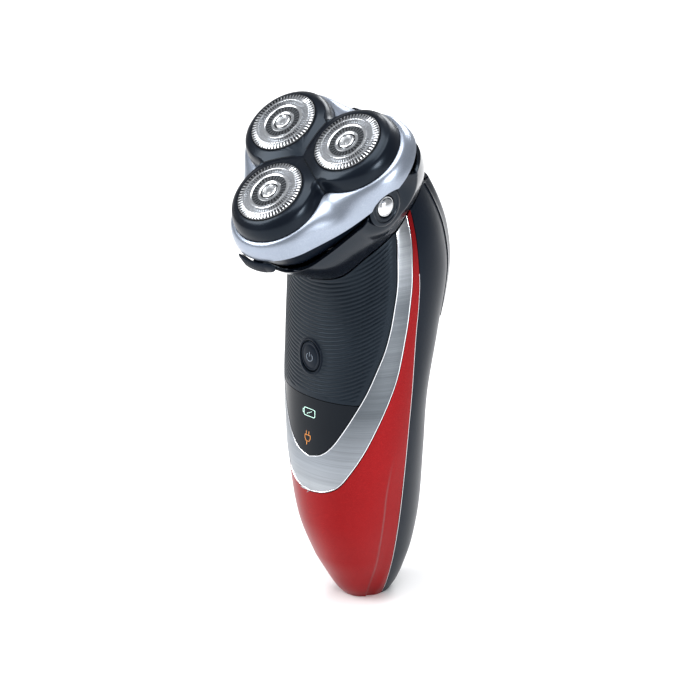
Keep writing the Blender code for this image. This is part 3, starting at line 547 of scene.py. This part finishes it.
def panel_edge(half_angle, share, tip, squeeze):
    """Angle and height on a panel's edge: share 0 is its lowest point and 1 is under the collar."""
    z = tip
    for _ in range(6):
        top = collar_edge(round(half_angle(z), 3)) - 2 * SEAM
        z = tip + (top - tip) * share ** squeeze
    return half_angle(z), z


RIB_PITCH, RIB_DEPTH = 1.3, 0.22


def grip_panel():
    low = WINDOW_TOP + SEAM

    def place(u, v):
        s = 2 * u - 1
        z = low
        for _ in range(6):
            half = grip_edge(z) - seam(z)
            z = low + (collar_edge(abs(s) * half) - 2 * SEAM - low) * v
        half = grip_edge(z) - seam(z)
        degrees = s * half
        edge = (1 - abs(s)) * math.radians(half) * handle_at(z)[2]  # mm from the panel's edge
        border = smooth_step((edge - 1.9) / 0.5)
        button = math.hypot(skin(z, degrees).x / (BUTTON_HALF_X + 1.3),
                            (z - BUTTON_Z) / (BUTTON_HALF_Z + 1.3))
        button = smooth_step((button - 1) / 0.12)
        ends = smooth_step((z - low - 1.1) / 0.5) * smooth_step((collar_edge(abs(degrees)) - z - 0.5) / 0.8)
        wave = z - 10 * (degrees / 65) ** 2
        phase = (wave / RIB_PITCH) % 1.0
        groove = smooth_step(1 - abs(phase - 0.5) / 0.33)
        slope = 0.22 * smooth_step(1 - edge / 2.2)
        return skin(z, degrees, slope + RIB_DEPTH * groove * border * button * ends)

    panel = face_out(grid(64, 300, place), (0, 0, 90))

    def from_button(p):
        """Position in the button's hole, whose edge is at length 1."""
        return Vector((p.x / (BUTTON_HALF_X + BUTTON_GAP), (p.z - BUTTON_Z) / (BUTTON_HALF_Z + BUTTON_GAP)))

    gone = [f for f in panel.faces
            if from_button(f.calc_center_median()).length < 1 and f.calc_center_median().y < 0]
    bmesh.ops.delete(panel, geom=gone, context="FACES")
    for vertex in panel.verts:
        if vertex.is_boundary:
            p = from_button(vertex.co)
            if 0.2 < p.length < 1.35 and vertex.co.y < 0:
                p = p.normalized()
                vertex.co.x = p.x * (BUTTON_HALF_X + BUTTON_GAP)
                vertex.co.z = BUTTON_Z + p.y * (BUTTON_HALF_Z + BUTTON_GAP)
    settle_mesh("ribbed_grip", wall(panel, 1.2, 0.1), [SOFT], "handle", ["grip_panel"])


def status_window():
    low, high = GRIP_TIP + SEAM, WINDOW_TOP - SEAM

    def place(u, v):
        z = low + (high - low) * v * v
        return skin(z, (2 * u - 1) * max(grip_edge(z) - seam(z), 0) * (0 if v == 0 else 1), 0.02)

    pane = face_out(grid(48, 40, place), (0, 0, 63))
    settle_mesh("smoked_pane", wall(pane, 1.2, 0.15), [WINDOW], "handle", ["status_window"])

    def on_pane(x, z):
        return Vector((x, skin_front(x, z) - PROUD, z))

    def rounded(x0, z0, x1, z1, r):
        run = []
        corners = ((x1 - r, z1 - r), (x0 + r, z1 - r), (x0 + r, z0 + r), (x1 - r, z0 + r))
        for quarter, (cx, cz) in enumerate(corners):
            turns = [math.radians(90 * quarter + t) for t in range(0, 91, 15)]
            run += [(cx + r * math.cos(a), cz + r * math.sin(a)) for a in turns]
        return run

    battery = rounded(-2.1, 66.2, 2.5, 68.7, 0.5)
    nub = [(-2.1, 66.9), (-2.6, 66.9), (-2.6, 68.0), (-2.1, 68.0)]
    bolt = [(1.2, 68.0), (0.0, 67.2), (0.5, 67.7), (-0.8, 66.9)]
    runs = [[on_pane(*p) for p in line] for line in (battery + battery[:1], nub, bolt)]
    tube("battery_sign", runs, 0.09, MINT, "handle")
    plug = [(-0.9, 61.2), (-0.9, 59.9), (-1.5, 59.9), (-1.5, 58.9), (-1.1, 58.1), (-0.7, 57.9), (-0.7, 56.7)]
    other = [(0.2, 61.2), (0.2, 59.9), (0.8, 59.9), (0.8, 58.9), (0.4, 58.1), (-0.0, 57.9), (-0.7, 57.9)]
    runs = [[on_pane(*p) for p in line] for line in (plug, other, [(-1.5, 59.9), (0.8, 59.9)])]
    tube("plug_sign", runs, 0.09, AMBER, "handle")


def trim_band():
    def place(u, v):
        t = 2 * u - 1
        side, share = math.copysign(1, t), abs(t)
        inner, z_in = panel_edge(grip_edge, share, GRIP_TIP, 2)
        outer, z_out = panel_edge(trim_edge, share, TRIM_TIP, 2)
        inner, outer = inner + seam(z_in), outer - seam(z_out)
        z_in, z_out = z_in - SEAM * (1 - share), z_out + SEAM * (1 - share)
        if share == 0:
            inner = outer = 0
        z = z_in + (z_out - z_in) * v
        crown = 0.10 * (1 - (2 * v - 1) ** 4)
        return skin(z, side * (inner + (outer - inner) * v), -crown + 0.05)

    band = face_out(grid(220, 14, place), (0, 0, 90))
    settle_mesh("brushed_band", wall(band, 1.2, 0.18), [BRUSHED], "handle", ["trim_band"])
    for name, edge, tip, way in (
        ("inner_bright_edge", grip_edge, GRIP_TIP, 1), ("outer_bright_edge", trim_edge, TRIM_TIP, -1),
    ):
        run = []
        for k in range(-120, 121):
            share = abs(k) / 120
            a, z = panel_edge(edge, share, tip, 2)
            a = (a + way * 2.2 * seam(z)) if share else 0
            run.append(skin(z - way * 0.3 * (1 - share), math.copysign(1, k) * a, 0.02))
        tube(name, run, 0.17, POLISHED, "handle")


FOOT_SHARE = 0.42  # of the red shell's length that runs round the foot


def crease_lift(z, degrees):
    """How far the red shell stands in: a soft hollow behind the ridge that runs down to the foot."""
    ridge = crease(z)
    if z > 60:
        return 0.0
    away = abs(degrees) - ridge
    fade = smooth_step((58 - z) / 22)
    hollow = smooth_step(away / 3.5) * smooth_step((26 - away) / 18) if away > 0 else 0.0
    return 0.5 * hollow * fade


def front_shell():
    def place(u, v):
        t = 2 * u - 1
        side, share = math.copysign(1, t), abs(t)
        inner, z_in = panel_edge(trim_edge, share, TRIM_TIP, 2)
        inner, z_in = inner + seam(z_in), z_in - SEAM * (1 - share)
        if share == 0:
            inner = 0
        if share < FOOT_SHARE:
            outer, z_out = rear_edge(0) * share / FOOT_SHARE, 0.0
        else:
            outer, z_out = panel_edge(rear_edge, (share - FOOT_SHARE) / (1 - FOOT_SHARE), 0.0, 1)
        outer -= seam(max(z_out, 2)) * min(share / FOOT_SHARE, 1)
        z = z_in + (z_out - z_in) * v
        a = inner + (outer - inner) * v
        return skin(z, side * a, crease_lift(z, a))

    shell = face_out(grid(260, 110, place), (0, 0, 60))
    settle_mesh("red_shell", wall(shell, 1.2, 0.15), [RED], "handle", ["front_shell"])


def rear_cover():
    def place(u, v):
        z = 0.0
        for _ in range(6):
            start = rear_edge(z) + seam(max(z, 2))
            angle = start + (360 - 2 * start) * u
            z = (collar_edge(round(min(angle, 360 - angle), 3)) - 2 * SEAM) * v
        return skin(z, angle)

    cover = face_out(grid(110, 150, place), (0, 0, 70))
    gone = [f for f in cover.faces if abs(f.calc_center_median().x) < FLAP_HALF + 1.2
            and FLAP_LOW - 1.2 < f.calc_center_median().z < FLAP_HIGH + 0.8 and f.calc_center_median().y > 0]
    bmesh.ops.delete(cover, geom=gone, context="FACES")
    settle_mesh("rear_casing", wall(cover, 1.2, 0.15), [SATIN], "handle", ["rear_cover"])
    # Painted highlight: a thin steel bead down each red-to-black parting stands in for the parting's light line.
    for side in (-1, 1):
        heights = [0.8 + k * 1.2 for k in range(94)]
        run = [skin(z, side * rear_edge(z), 0.06) for z in heights if z < collar_edge(86) - 1]
        tube(f"parting_highlight_bead_{'left' if side < 0 else 'right'}", run, 0.09, STEEL, "handle")


def trimmer_parts():
    low, high, half = 93, 136.3, 18
    window_low, window_half = FLAP_LOW - 0.2, FLAP_HALF + 0.2

    def surround_place(u, v):
        """Columns and rows fall on the lid's opening; the patch fades into the casing at its sides and foot."""
        if v < 0.25:
            z = low + (window_low - low) * v * 4
        else:
            z = window_low + (high - window_low) * (v - 0.25) / 0.75
        reach = half * (1 - 0.15 * ((z - low) / (high - low)) ** 3)
        share = abs(2 * u - 1)
        x = 2 * share * window_half if share < 0.5 else window_half + (reach - window_half) * (2 * share - 1)
        sunk = 1 - min(smooth_step((z - low) / 5), smooth_step((reach - x) / 2.5))
        return Vector((math.copysign(x, u - 0.5), back_y(x, z, -RAISE + 1.1 * sunk), z))

    surround = face_out(grid(80, 88, surround_place), (0, -40, 115))
    gone = [f for f in surround.faces if abs(f.calc_center_median().x) < window_half
            and f.calc_center_median().z > window_low]
    bmesh.ops.delete(surround, geom=gone, context="FACES")
    settle_mesh("trimmer_surround", wall(surround, 1.2, 0.2), [GLOSS], "handle", ["trimmer_housing"])

    def flap_place(u, v):
        z = FLAP_LOW + (FLAP_HIGH - FLAP_LOW) * v
        x = (2 * u - 1) * FLAP_HALF
        dip = 0.0
        for k in range(3):  # three finger grooves near the lower edge
            groove = smooth_step(1 - abs(z - FLAP_LOW - 3.2 - 1.6 * k) / 0.5)
            dip = max(dip, 0.25 * groove * smooth_step((8.5 - abs(x)) / 0.8))
        return Vector((x, back_y(x, z, -RAISE + dip), z))

    flap = face_out(grid(60, 120, flap_place), (0, -40, 120))
    flap_piece = settle_mesh("trimmer_lid_cover", wall(flap, 1.1, 0.25), [GLOSS], "trimmer_lid", ())
    for name, a, b in (("left", -8.5, -7.0), ("right", 7.0, 8.5)):
        lug = bmesh.new()
        centre = ((a + b) / 2, FLAP_PIN_Y, FLAP_PIN_Z)
        bmesh.ops.create_cone(lug, cap_ends=True, segments=24, radius1=1.5, radius2=1.5, depth=b - a,
                              matrix=Matrix.Translation(centre) @ Matrix.Rotation(math.radians(90), 4, "Y"))
        arm = bmesh.ops.create_cube(lug, size=1)["verts"]
        top = back_y(b, FLAP_PIN_Z) + 0.9
        bmesh.ops.scale(lug, vec=(b - a, top - FLAP_PIN_Y, 2.2), verts=arm)
        bmesh.ops.translate(lug, vec=((a + b) / 2, (FLAP_PIN_Y + top) / 2, FLAP_PIN_Z), verts=arm)
        settle_mesh(f"lid_lug_{name}", lug, [SATIN], "trimmer_lid", ())
    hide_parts("trimmer_flap")

    def slide_place(u, v):
        z = 95.5 + 5 * v
        x = (2 * u - 1) * 5
        ridge = 0.35 * smooth_step(1 - abs((z - 95.5) % 1.25 - 0.62) / 0.35) * smooth_step((4.3 - abs(x)) / 0.4)
        sides, ends = smooth_step((5 - abs(x)) / 0.7), smooth_step(min(z - 95.5, 100.5 - z) / 0.6)
        edge = 0.5 * (1 - sides) + 0.5 * (1 - ends)
        return Vector((x, back_y(x, z, -(RAISE + 1.5)) - 0.3 + ridge * 0.8 - edge, z))

    slide = face_out(grid(40, 60, slide_place), (0, -40, 98))
    settle_mesh("ridged_slide", wall(slide, 0.9, 0), [SATIN], "trimmer_slide", ["trimmer_slide"])


# ---------------------------------------------------------------- collar and pivots
def neck_collar():
    to_head = HEAD.inverted()

    def place(u, v):
        angle = 360 * u
        from_chin = min(angle, 360 - angle)
        low = skin(collar_edge(round(from_chin, 4)), angle)
        corner, n = collar_rim(round(from_chin, 4))
        high = HEAD @ polar(rounded_triangle(angle - 90, corner), angle - 90, n)
        out = Vector((math.sin(math.radians(angle)), -math.cos(math.radians(angle)), 0))
        p = low.lerp(high, v) + out * math.sin(math.pi * v)
        lip = 0.35 * smooth_step(1 - v / 0.05)
        return HEAD @ near_pivot(to_head @ (p - out * lip), PIVOT_X - 0.02, 0.12, lift=1)

    collar = face_out(grid(288, 40, place), (0, -14, 134))
    settle_mesh("neck_shroud", wall(collar, 1.1, 0.2), [GLOSS], "handle", ["neck_collar"])


def pivots():
    for name, side in (("left", -1), ("right", 1)):
        at = (side * PIVOT_X, PIVOT_V, PIVOT_N)
        turn = Matrix.Rotation(math.radians(90 * side), 4, "Y")
        cap = turned([(3.45, 0.62), (6.15, 0.62), (6.3, 0.78), (6.3, 1.0), (6.1, 1.2), (5.7, 1.36), (5.2, 1.4),
                      (4.9, 1.36), (4.75, 1.2), (4.55, 1.2), (4.4, 1.36), (3.6, 1.4), (3.45, 1.3), (3.45, 0.62)])
        bmesh.ops.transform(cap, matrix=turn, verts=cap.verts)
        settle_mesh(f"pivot_bezel_{name}", cap, [GLOSS], "handle", [f"pivot_cap_{name}"], at)
        dome = turned([(0, -1.6), (1.9, -1.6), (1.9, 0.3), (3.1, 0.35), (3.2, 0.6), (3.2, 1.1), (3.1, 1.32),
                       (2.9, 1.5), (2.75, 1.5), (2.65, 1.62), (2.4, 1.9), (2.0, 2.18), (1.5, 2.4), (0.9, 2.54),
                       (0.4, 2.59), (0, 2.6)], 64)
        bmesh.ops.transform(dome, matrix=turn, verts=dome.verts)
        settle_mesh(f"pivot_dome_{name}", dome, [STEEL], "handle", [f"pivot_stud_{name}"], at)


def power_button():
    """A pillowed oval button with a raised rim and the usual standby sign."""
    y = handle_at(BUTTON_Z)[0]
    dome = turned([(0, -2.5), (0.9, -2.5), (0.98, -2.3), (0.985, -0.45), (0.97, -0.25), (0.94, -0.08),
                   (0.9, 0.0), (0.86, 0.02), (0.82, 0.0), (0.79, -0.1), (0.75, -0.1), (0.7, 0.0), (0.62, 0.1), (0.48, 0.2),
                   (0.3, 0.27), (0.14, 0.3), (0, 0.31)], 96)
    bmesh.ops.scale(dome, vec=(BUTTON_HALF_X, BUTTON_HALF_Z, 1), verts=dome.verts)
    bmesh.ops.rotate(dome, matrix=Matrix.Rotation(math.radians(90), 3, "X"), verts=dome.verts)
    bmesh.ops.translate(dome, vec=(0, y, BUTTON_Z), verts=dome.verts)
    settle_mesh("button_pad", dome, [SATIN], "button", ["power_button"])

    def on_pad(x, z):
        share = math.hypot(x / BUTTON_HALF_X, z / BUTTON_HALF_Z)
        return (x, y - 0.31 + 0.34 * share ** 2 - 0.03, BUTTON_Z + z)

    turns = [math.radians(a) for a in range(32, 329, 8)]
    sign = [on_pad(1.25 * math.sin(a), 1.25 * math.cos(a) - 0.2) for a in turns]
    tube("standby_sign", [sign, [on_pad(0, 0.1), on_pad(0, 0.8), on_pad(0, 1.5)]], 0.11, SYMBOL, "button")
    oval = [(1.13 * BUTTON_HALF_X * math.sin(a), BUTTON_Z + 1.13 * BUTTON_HALF_Z * math.cos(a))
            for a in (math.radians(k) for k in range(0, 360, 5))]
    ring = [(x, skin_front(x, z) - PROUD, z) for x, z in oval]
    tube("button_bezel", [ring], 0.34, SATIN, "handle", closed=True)


# ---------------------------------------------------------------- head
def bowl_point(degrees, step):
    """A point of the bowl's outer surface; step runs over the rows of BOWL."""
    i = min(int(step), len(BOWL) - 2)
    share = step - i
    corner, drop = (BOWL[i][k] + (BOWL[i + 1][k] - BOWL[i][k]) * share for k in (0, 1))
    level = ring_low(-90)
    n = level + (ring_low(degrees) - level) * (1 - step / (len(BOWL) - 1)) - 0.6 + drop
    return near_pivot(polar(rounded_triangle(degrees, corner), degrees, n), PIVOT_X - 2.1, 0.045)


def knuckle(low, high):
    """A sleeve of the unit's hinge, along X from low to high."""
    sleeve = turned([(0.95, low), (1.55, low), (1.7, low + 0.15), (1.7, high - 0.15), (1.55, high),
                     (0.95, high), (0.95, low)], 40)
    bmesh.ops.rotate(sleeve, matrix=Matrix.Rotation(math.radians(90), 3, "Y"), verts=sleeve.verts)
    return sleeve


def hair_chamber():
    steps = [0, 0.12, 0.4, 1, 1.5, 2, 2.5, 3, 3.5, 4, 4.5, 5, 5.5, 6]

    def place(u, v):
        i = v * len(steps)
        if i > len(steps) - 0.5:
            return polar(4.2, 360 * u, bowl_point(0, len(BOWL) - 1).z)
        return bowl_point(360 * u, steps[int(round(i))])

    bowl = face_out(grid(216, len(steps), place), (0, 0, -10))
    gone = [f for f in bowl.faces if abs(f.calc_center_median().x) < 2.3 and f.calc_center_median().y < 0
            and -15.0 < f.calc_center_median().z < -13.3]
    bmesh.ops.delete(bowl, geom=gone, context="FACES")
    settle_mesh("chamber_bowl", wall(bowl, 1.1, 0.15), [SATIN], "head", ["hair_chamber"],
                (0, 0, 0))
    profile = ((17.75, -11.5), (18.25, -11.4), (18.55, -11.8), (18.6, -12.6), (18.6, -14.8), (18.3, -15.25),
               (17.6, -15.3), (16.9, -15.3), (16.8, -15.1), (16.8, -13.2), (17.4, -12.7))

    def catch_place(u, v):
        r, n = profile[int(round(v * len(profile))) % len(profile)]
        a = math.radians(-90 + 48 * (u - 0.5))
        thin = math.sqrt(max(1 - (2 * abs(u - 0.5)) ** 8, 0.02))
        r, n = 17.7 + (r - 17.7) * thin, -13.4 + (n + 13.4) * thin
        ridge = 0.14 * smooth_step(1 - abs((u * 20) % 1 - 0.5) / 0.35) if r > 18.3 and 0.2 < u < 0.8 else 0
        return Vector(((r + ridge) * math.cos(a), LOBES[0].y + (r + ridge) * math.sin(a), n))

    catch = grid(120, len(profile), catch_place)
    bmesh.ops.holes_fill(catch, edges=[e for e in catch.edges if e.is_boundary])
    stem = bmesh.ops.create_cube(catch, size=1)["verts"]
    bmesh.ops.scale(catch, vec=(4, 5.2, 1.1), verts=stem)
    bmesh.ops.translate(catch, vec=(0, -30.1, -14.15), verts=stem)
    bmesh.ops.recalc_face_normals(catch, faces=catch.faces)
    settle_mesh("catch_lip", catch, [SATIN], "catch", ["release_catch"], (0, 0, 0))
    for name, low, high in (("left", -6.8, -4.7), ("right", 4.7, 6.8)):
        settle_mesh(f"hinge_ear_{name}", knuckle(low, high), [GLOSS], "head", (), HINGE_AT)


def head_frame():
    """The silver frame: from the lobes' edge it runs out and down to a rounded triangle."""
    bends = [0, 6, 14, 22, 30, 38, 46, 54, 62, 70, 78, 86, 90, 90.5, 90.5, 86, 70, 45, 20, 0]
    outside_rows = 13

    def place(u, v):
        angle = 360 * u
        i = int(round(len(bends) * v)) % len(bends)
        outside, bend = i < outside_rows, math.radians(min(bends[i], 90))
        inner = trefoil(round(angle, 4)) + 0.14
        radius = inner + (rounded_triangle(angle, RING_R) - inner) * math.sin(bend)
        n = RING_TOP + (ring_low(angle) - RING_TOP) * (1 - math.cos(bend))
        if not outside:
            radius, n = radius - 1.2 * math.sin(bend), n - 1.2 * math.cos(bend)
        return polar(radius, angle, n)

    bm = grid(288, len(bends), place)
    bmesh.ops.recalc_face_normals(bm, faces=bm.faces)
    frame_piece = settle_mesh("silver_frame", bm, [SILVER], "shaving_unit", ["head_frame"],
                              (0, 0, 0))
    for name, side in (("left", -1), ("right", 1)):
        notch = bmesh.new()
        bmesh.ops.create_cone(notch, cap_ends=True, segments=96, radius1=7.0, radius2=7.0, depth=12,
                              matrix=Matrix.Translation((side * (PIVOT_X + 2), PIVOT_V, PIVOT_N))
                              @ Matrix.Rotation(math.radians(90), 4, "Y"))
        subtract(frame_piece, notch)
    settle_mesh("hinge_barrel", knuckle(-4.4, 4.4), [SILVER], "shaving_unit", (), HINGE_AT)


def subtract(piece, bm):
    """Cuts a solid, given in the head's axes and millimetres, out of a piece."""
    mesh = bpy.data.meshes.new("cutting_tool")
    bmesh.ops.scale(bm, vec=(MM, MM, MM), verts=bm.verts)
    bm.to_mesh(mesh)
    bm.free()
    tool = bpy.data.objects.new("cutting_tool", mesh)
    bpy.context.scene.collection.objects.link(tool)
    tool.matrix_world = Matrix.Translation(HEAD.translation * MM) @ HEAD.to_3x3().to_4x4()
    made = piece.modifiers.new("cut", "BOOLEAN")
    made.object, made.operation, made.solver = tool, "DIFFERENCE", "EXACT"
    bpy.context.view_layer.update()
    result = bpy.data.meshes.new_from_object(piece.evaluated_get(bpy.context.evaluated_depsgraph_get()))
    piece.modifiers.clear()
    piece.data = result
    result.set_sharp_from_angle(angle=math.radians(40))
    bpy.data.objects.remove(tool)


def face_height(p):
    """N of the shaving face: highest round each cutter and lower in between."""
    away = min((p - c).length for c in LOBES) - CUTTER_R
    return -0.5 - 0.42 * max(away - 0.6, 0)


def shell_black():
    """The gloss black of the shaving face, with three fine seams that run out between the lobes."""
    f = Finish("face_black", coat_weight=0.06, coat_roughness=0.1, specular_ior_level=0.22,
               specular_tint=COOL)
    at = f.place(1000, 1000, 1000)
    x = f.node("ShaderNodeSeparateXYZ", {}, {0: at}, output=0)
    y = f.node("ShaderNodeSeparateXYZ", {}, {0: at}, output=1)
    line = None
    for a in (-30, 90, 210):
        c, s = math.cos(math.radians(a)), math.sin(math.radians(a))
        off = f.node("ShaderNodeMath", {"operation": "ABSOLUTE"}, {0: x * s - y * c})
        here = ((0.24 - off) * 10).clamped() * ((x * c + y * s) > 2.2)
        line = here if line is None else (line + here).clamped()
    haze = f.noise(80, 3)
    skin_tone = f.mix(haze, (0.0015, 0.002, 0.004), (0.003, 0.005, 0.009))
    f.feed(base_color=f.mix(line, skin_tone, (0.0005, 0.0005, 0.001)),
           roughness=0.24 + 0.1 * haze + 0.3 * line)
    return f.bump(1 - line, 0.0002, 0.8)


def unit_shell():
    over = [(0, -8.2), (0, -7.2), (0, -6.4), (0, -5.4), (0.12, -4.6), (0.3, -3.9), (0.55, -3.25), (0.9, -2.6),
            (1.3, -2.0), (1.75, -1.6), (2.3, -1.3), 1, 0.95, 0.9, 0.85, 0.8, 0.75, 0.7, 0.62, 0.54, 0.46, 0.38,
            0.3, 0.22, 0.14, 0.07, 0]

    def place(u, v):
        kind = over[int(round(v * (len(over) - 1)))]
        angle = round(360 * u, 4)
        edge = trefoil(angle % 360)
        if isinstance(kind, tuple):
            return polar(edge - kind[0], angle, kind[1])
        p = polar((edge - 2.9) * kind, angle, 0)
        p.z = face_height(p)
        return p

    shell = face_out(grid(240, len(over) - 1, place), (0, 0, -8))
    piece = settle_mesh("face_shell", wall(shell, 0.9, 0), [shell_black()], "shaving_unit", ["unit_shell"],
                        (0, 0, 0))
    for c in LOBES:
        hole = bmesh.new()
        bmesh.ops.create_cone(hole, cap_ends=True, segments=120, radius1=CUTTER_R + 0.18, radius2=CUTTER_R + 0.18,
                              depth=16, matrix=Matrix.Translation((c.x, c.y, -4)))
        subtract(piece, hole)


def cap_height(r):
    """Height of a cutter cap's top at this distance from its middle."""
    stations = ((2.7, 0.10), (3.6, 0.16), (5.9, 0.30), (8.9, 0.25), (10.1, 0.0), (10.4, -0.25), (10.5, -0.6))
    for (r0, h0), (r1, h1) in zip(stations, stations[1:]):
        if r <= r1:
            return h0 + (h1 - h0) * max(r - r0, 0) / (r1 - r0)
    return -0.6


def cutters():
    # (radius, drop of the whole ring, drop of its slots)
    rows = [(10.5, 2.8, 0), (10.5, 0.15, 0), (10.42, 0, 0), (10.25, 0, 0), (10.2, 0, 0.55), (9.4, 0, 0.55),
            (8.55, 0, 0.55), (8.5, 0, 0), (8.35, -0.03, 0), (8.15, -0.03, 0), (8.05, 0, 0), (8.0, 0, 0.55),
            (7.3, 0, 0.55), (6.6, 0, 0.55), (6.55, 0, 0), (6.3, -0.05, 0), (6.0, -0.05, 0), (5.7, 0.05, 0),
            (5.6, 0.1, 0), (5.5, 0.1, 0.45), (3.9, 0.1, 0.45), (3.8, 0.1, 0), (3.65, -0.08, 0),
            (3.1, -0.08, 0), (2.85, 0.02, 0), (2.72, 0.6, 0)]

    def place(u, v):
        radius, drop, slot = rows[int(round(v * (len(rows) - 1)))]
        k = int(round(u * 4 * SLOTS))
        cut = k % 8 > 3 if radius < 6 else k % 4 > 1
        return polar(radius, 360 * u, cap_height(radius) - drop - (slot if cut else 0))

    disc_profile = [(2.4, -0.9), (2.4, 0.12), (2.3, 0.26), (2.1, 0.36), (1.85, 0.38), (1.7, 0.3), (1.62, -0.1),
                    (1.5, -0.16), (1.1, -0.16), (1.0, -0.02), (0.6, 0.04), (0, 0.06)]
    for i, c in enumerate(LOBES, 1):
        cap = face_out(grid(4 * SLOTS, len(rows) - 1, place), (0, 0, -3))
        settle_mesh(f"slotted_cap_{i}", cap, [CUTTER], f"cutter_{i}", [f"cutter_cap_{i}"],
                    (c.x, c.y, 0), angle=25)
        disc = turned(disc_profile, 72)
        settle_mesh(f"cap_badge_{i}", disc, [CUTTER], f"cutter_{i}", [f"cap_disc_{i}"],
                    (c.x, c.y, 0), angle=25)


# ---------------------------------------------------------------- parts kept as they are
def kept_parts():
    finishes = {
        "gear_plastic": moulded("gear_plastic", (0.62, 0.61, 0.56), (0.74, 0.73, 0.69), 0.4),
        "cell_wrap": moulded("cell_wrap", (0.05, 0.15, 0.28), (0.08, 0.21, 0.36), 0.32),
        "board_green": moulded("board_green", (0.012, 0.11, 0.05), (0.022, 0.17, 0.08), 0.38),
        "lamp": moulded("clear_lamp", (0.66, 0.78, 0.72), (0.78, 0.88, 0.83), 0.2),
        "black_gloss": GLOSS, "black_satin": SATIN, "steel": STEEL, "motor_can": bright_steel("motor_can", 0.85, 0.25),
    }
    replaced = set(
        "grip_panel status_window trim_band front_shell rear_cover trimmer_housing trimmer_flap trimmer_slide "
        "neck_collar pivot_cap_left pivot_cap_right pivot_stud_left pivot_stud_right power_button "
        "hair_chamber head_frame unit_shell release_catch cutter_cap_1 cutter_cap_2 cutter_cap_3 "
        "cap_disc_1 cap_disc_2 cap_disc_3".split()
    )
    slots = {part["node"]: part["material_slot"] for part in frame["record"]["subparts"]}
    for name, obj in frame["nodes"].items():
        if name in replaced:
            continue
        slot = slots[name]
        for place in obj.material_slots:
            place.material = finishes[slot].material


# ---------------------------------------------------------------- studio
def studio():
    floor = bpy.data.meshes.new("floor")
    floor.from_pydata([(-6, -6, 0), (6, -6, 0), (6, 6, 0), (-6, 6, 0)], [], [(0, 1, 2, 3)])
    ground = bpy.data.objects.new("floor", floor)
    bpy.context.scene.collection.objects.link(ground)
    pale = Finish("pale_floor", roughness=0.6)
    tone = pale.noise(3, 2)
    pale.feed(base_color=pale.mix(tone, (0.86, 0.86, 0.87), (0.90, 0.90, 0.90)))
    floor.materials.append(pale.material)

    world = bpy.data.worlds.new("studio")
    bpy.context.scene.world = world
    world.use_nodes = True
    world.node_tree.nodes["Background"].inputs["Color"].default_value = (0.94, 0.96, 1.0, 1)
    world.node_tree.nodes["Background"].inputs["Strength"].default_value = 0.38

    aim = Vector((0, 0, 0.085))
    for name, place, size, watts in (
        ("key_light", (-0.55, -0.75, 0.75), 0.6, 10),
        ("side_light", (0.95, -0.15, 0.35), 0.3, 6),
        ("top_light", (0.1, -0.2, 1.1), 0.8, 12),
        ("back_light", (-0.3, 0.8, 0.6), 0.5, 6),
    ):
        lamp = bpy.data.lights.new(name, "AREA")
        lamp.shape, lamp.size, lamp.energy = "SQUARE", size, watts
        light = bpy.data.objects.new(name, lamp)
        bpy.context.scene.collection.objects.link(light)
        light.location = place
        light.rotation_euler = (aim - Vector(place)).to_track_quat("-Z", "Y").to_euler()

    lens = bpy.data.cameras.new("camera")
    lens.sensor_width, lens.lens = 36, 2940 / VIEW * 36
    lens.shift_x, lens.shift_y = -22 / VIEW, -1.5 / VIEW
    lens.clip_start = 0.01
    camera = bpy.data.objects.new("camera", lens)
    bpy.context.scene.collection.objects.link(camera)
    across, up = math.radians(44.7), math.radians(22)
    back = Vector((math.sin(across) * math.cos(up), -math.cos(across) * math.cos(up), math.sin(up)))
    camera.location = Vector((0, -0.0022, 0.085)) + 0.9 * back
    camera.rotation_euler = back.to_track_quat("Z", "Y").to_euler()
    bpy.context.scene.camera = camera
    bpy.context.scene.view_settings.view_transform = "Standard"


grip_panel()
status_window()
trim_band()
front_shell()
rear_cover()
trimmer_parts()
neck_collar()
pivots()
power_button()
hair_chamber()
head_frame()
unit_shell()
cutters()
kept_parts()
studio()
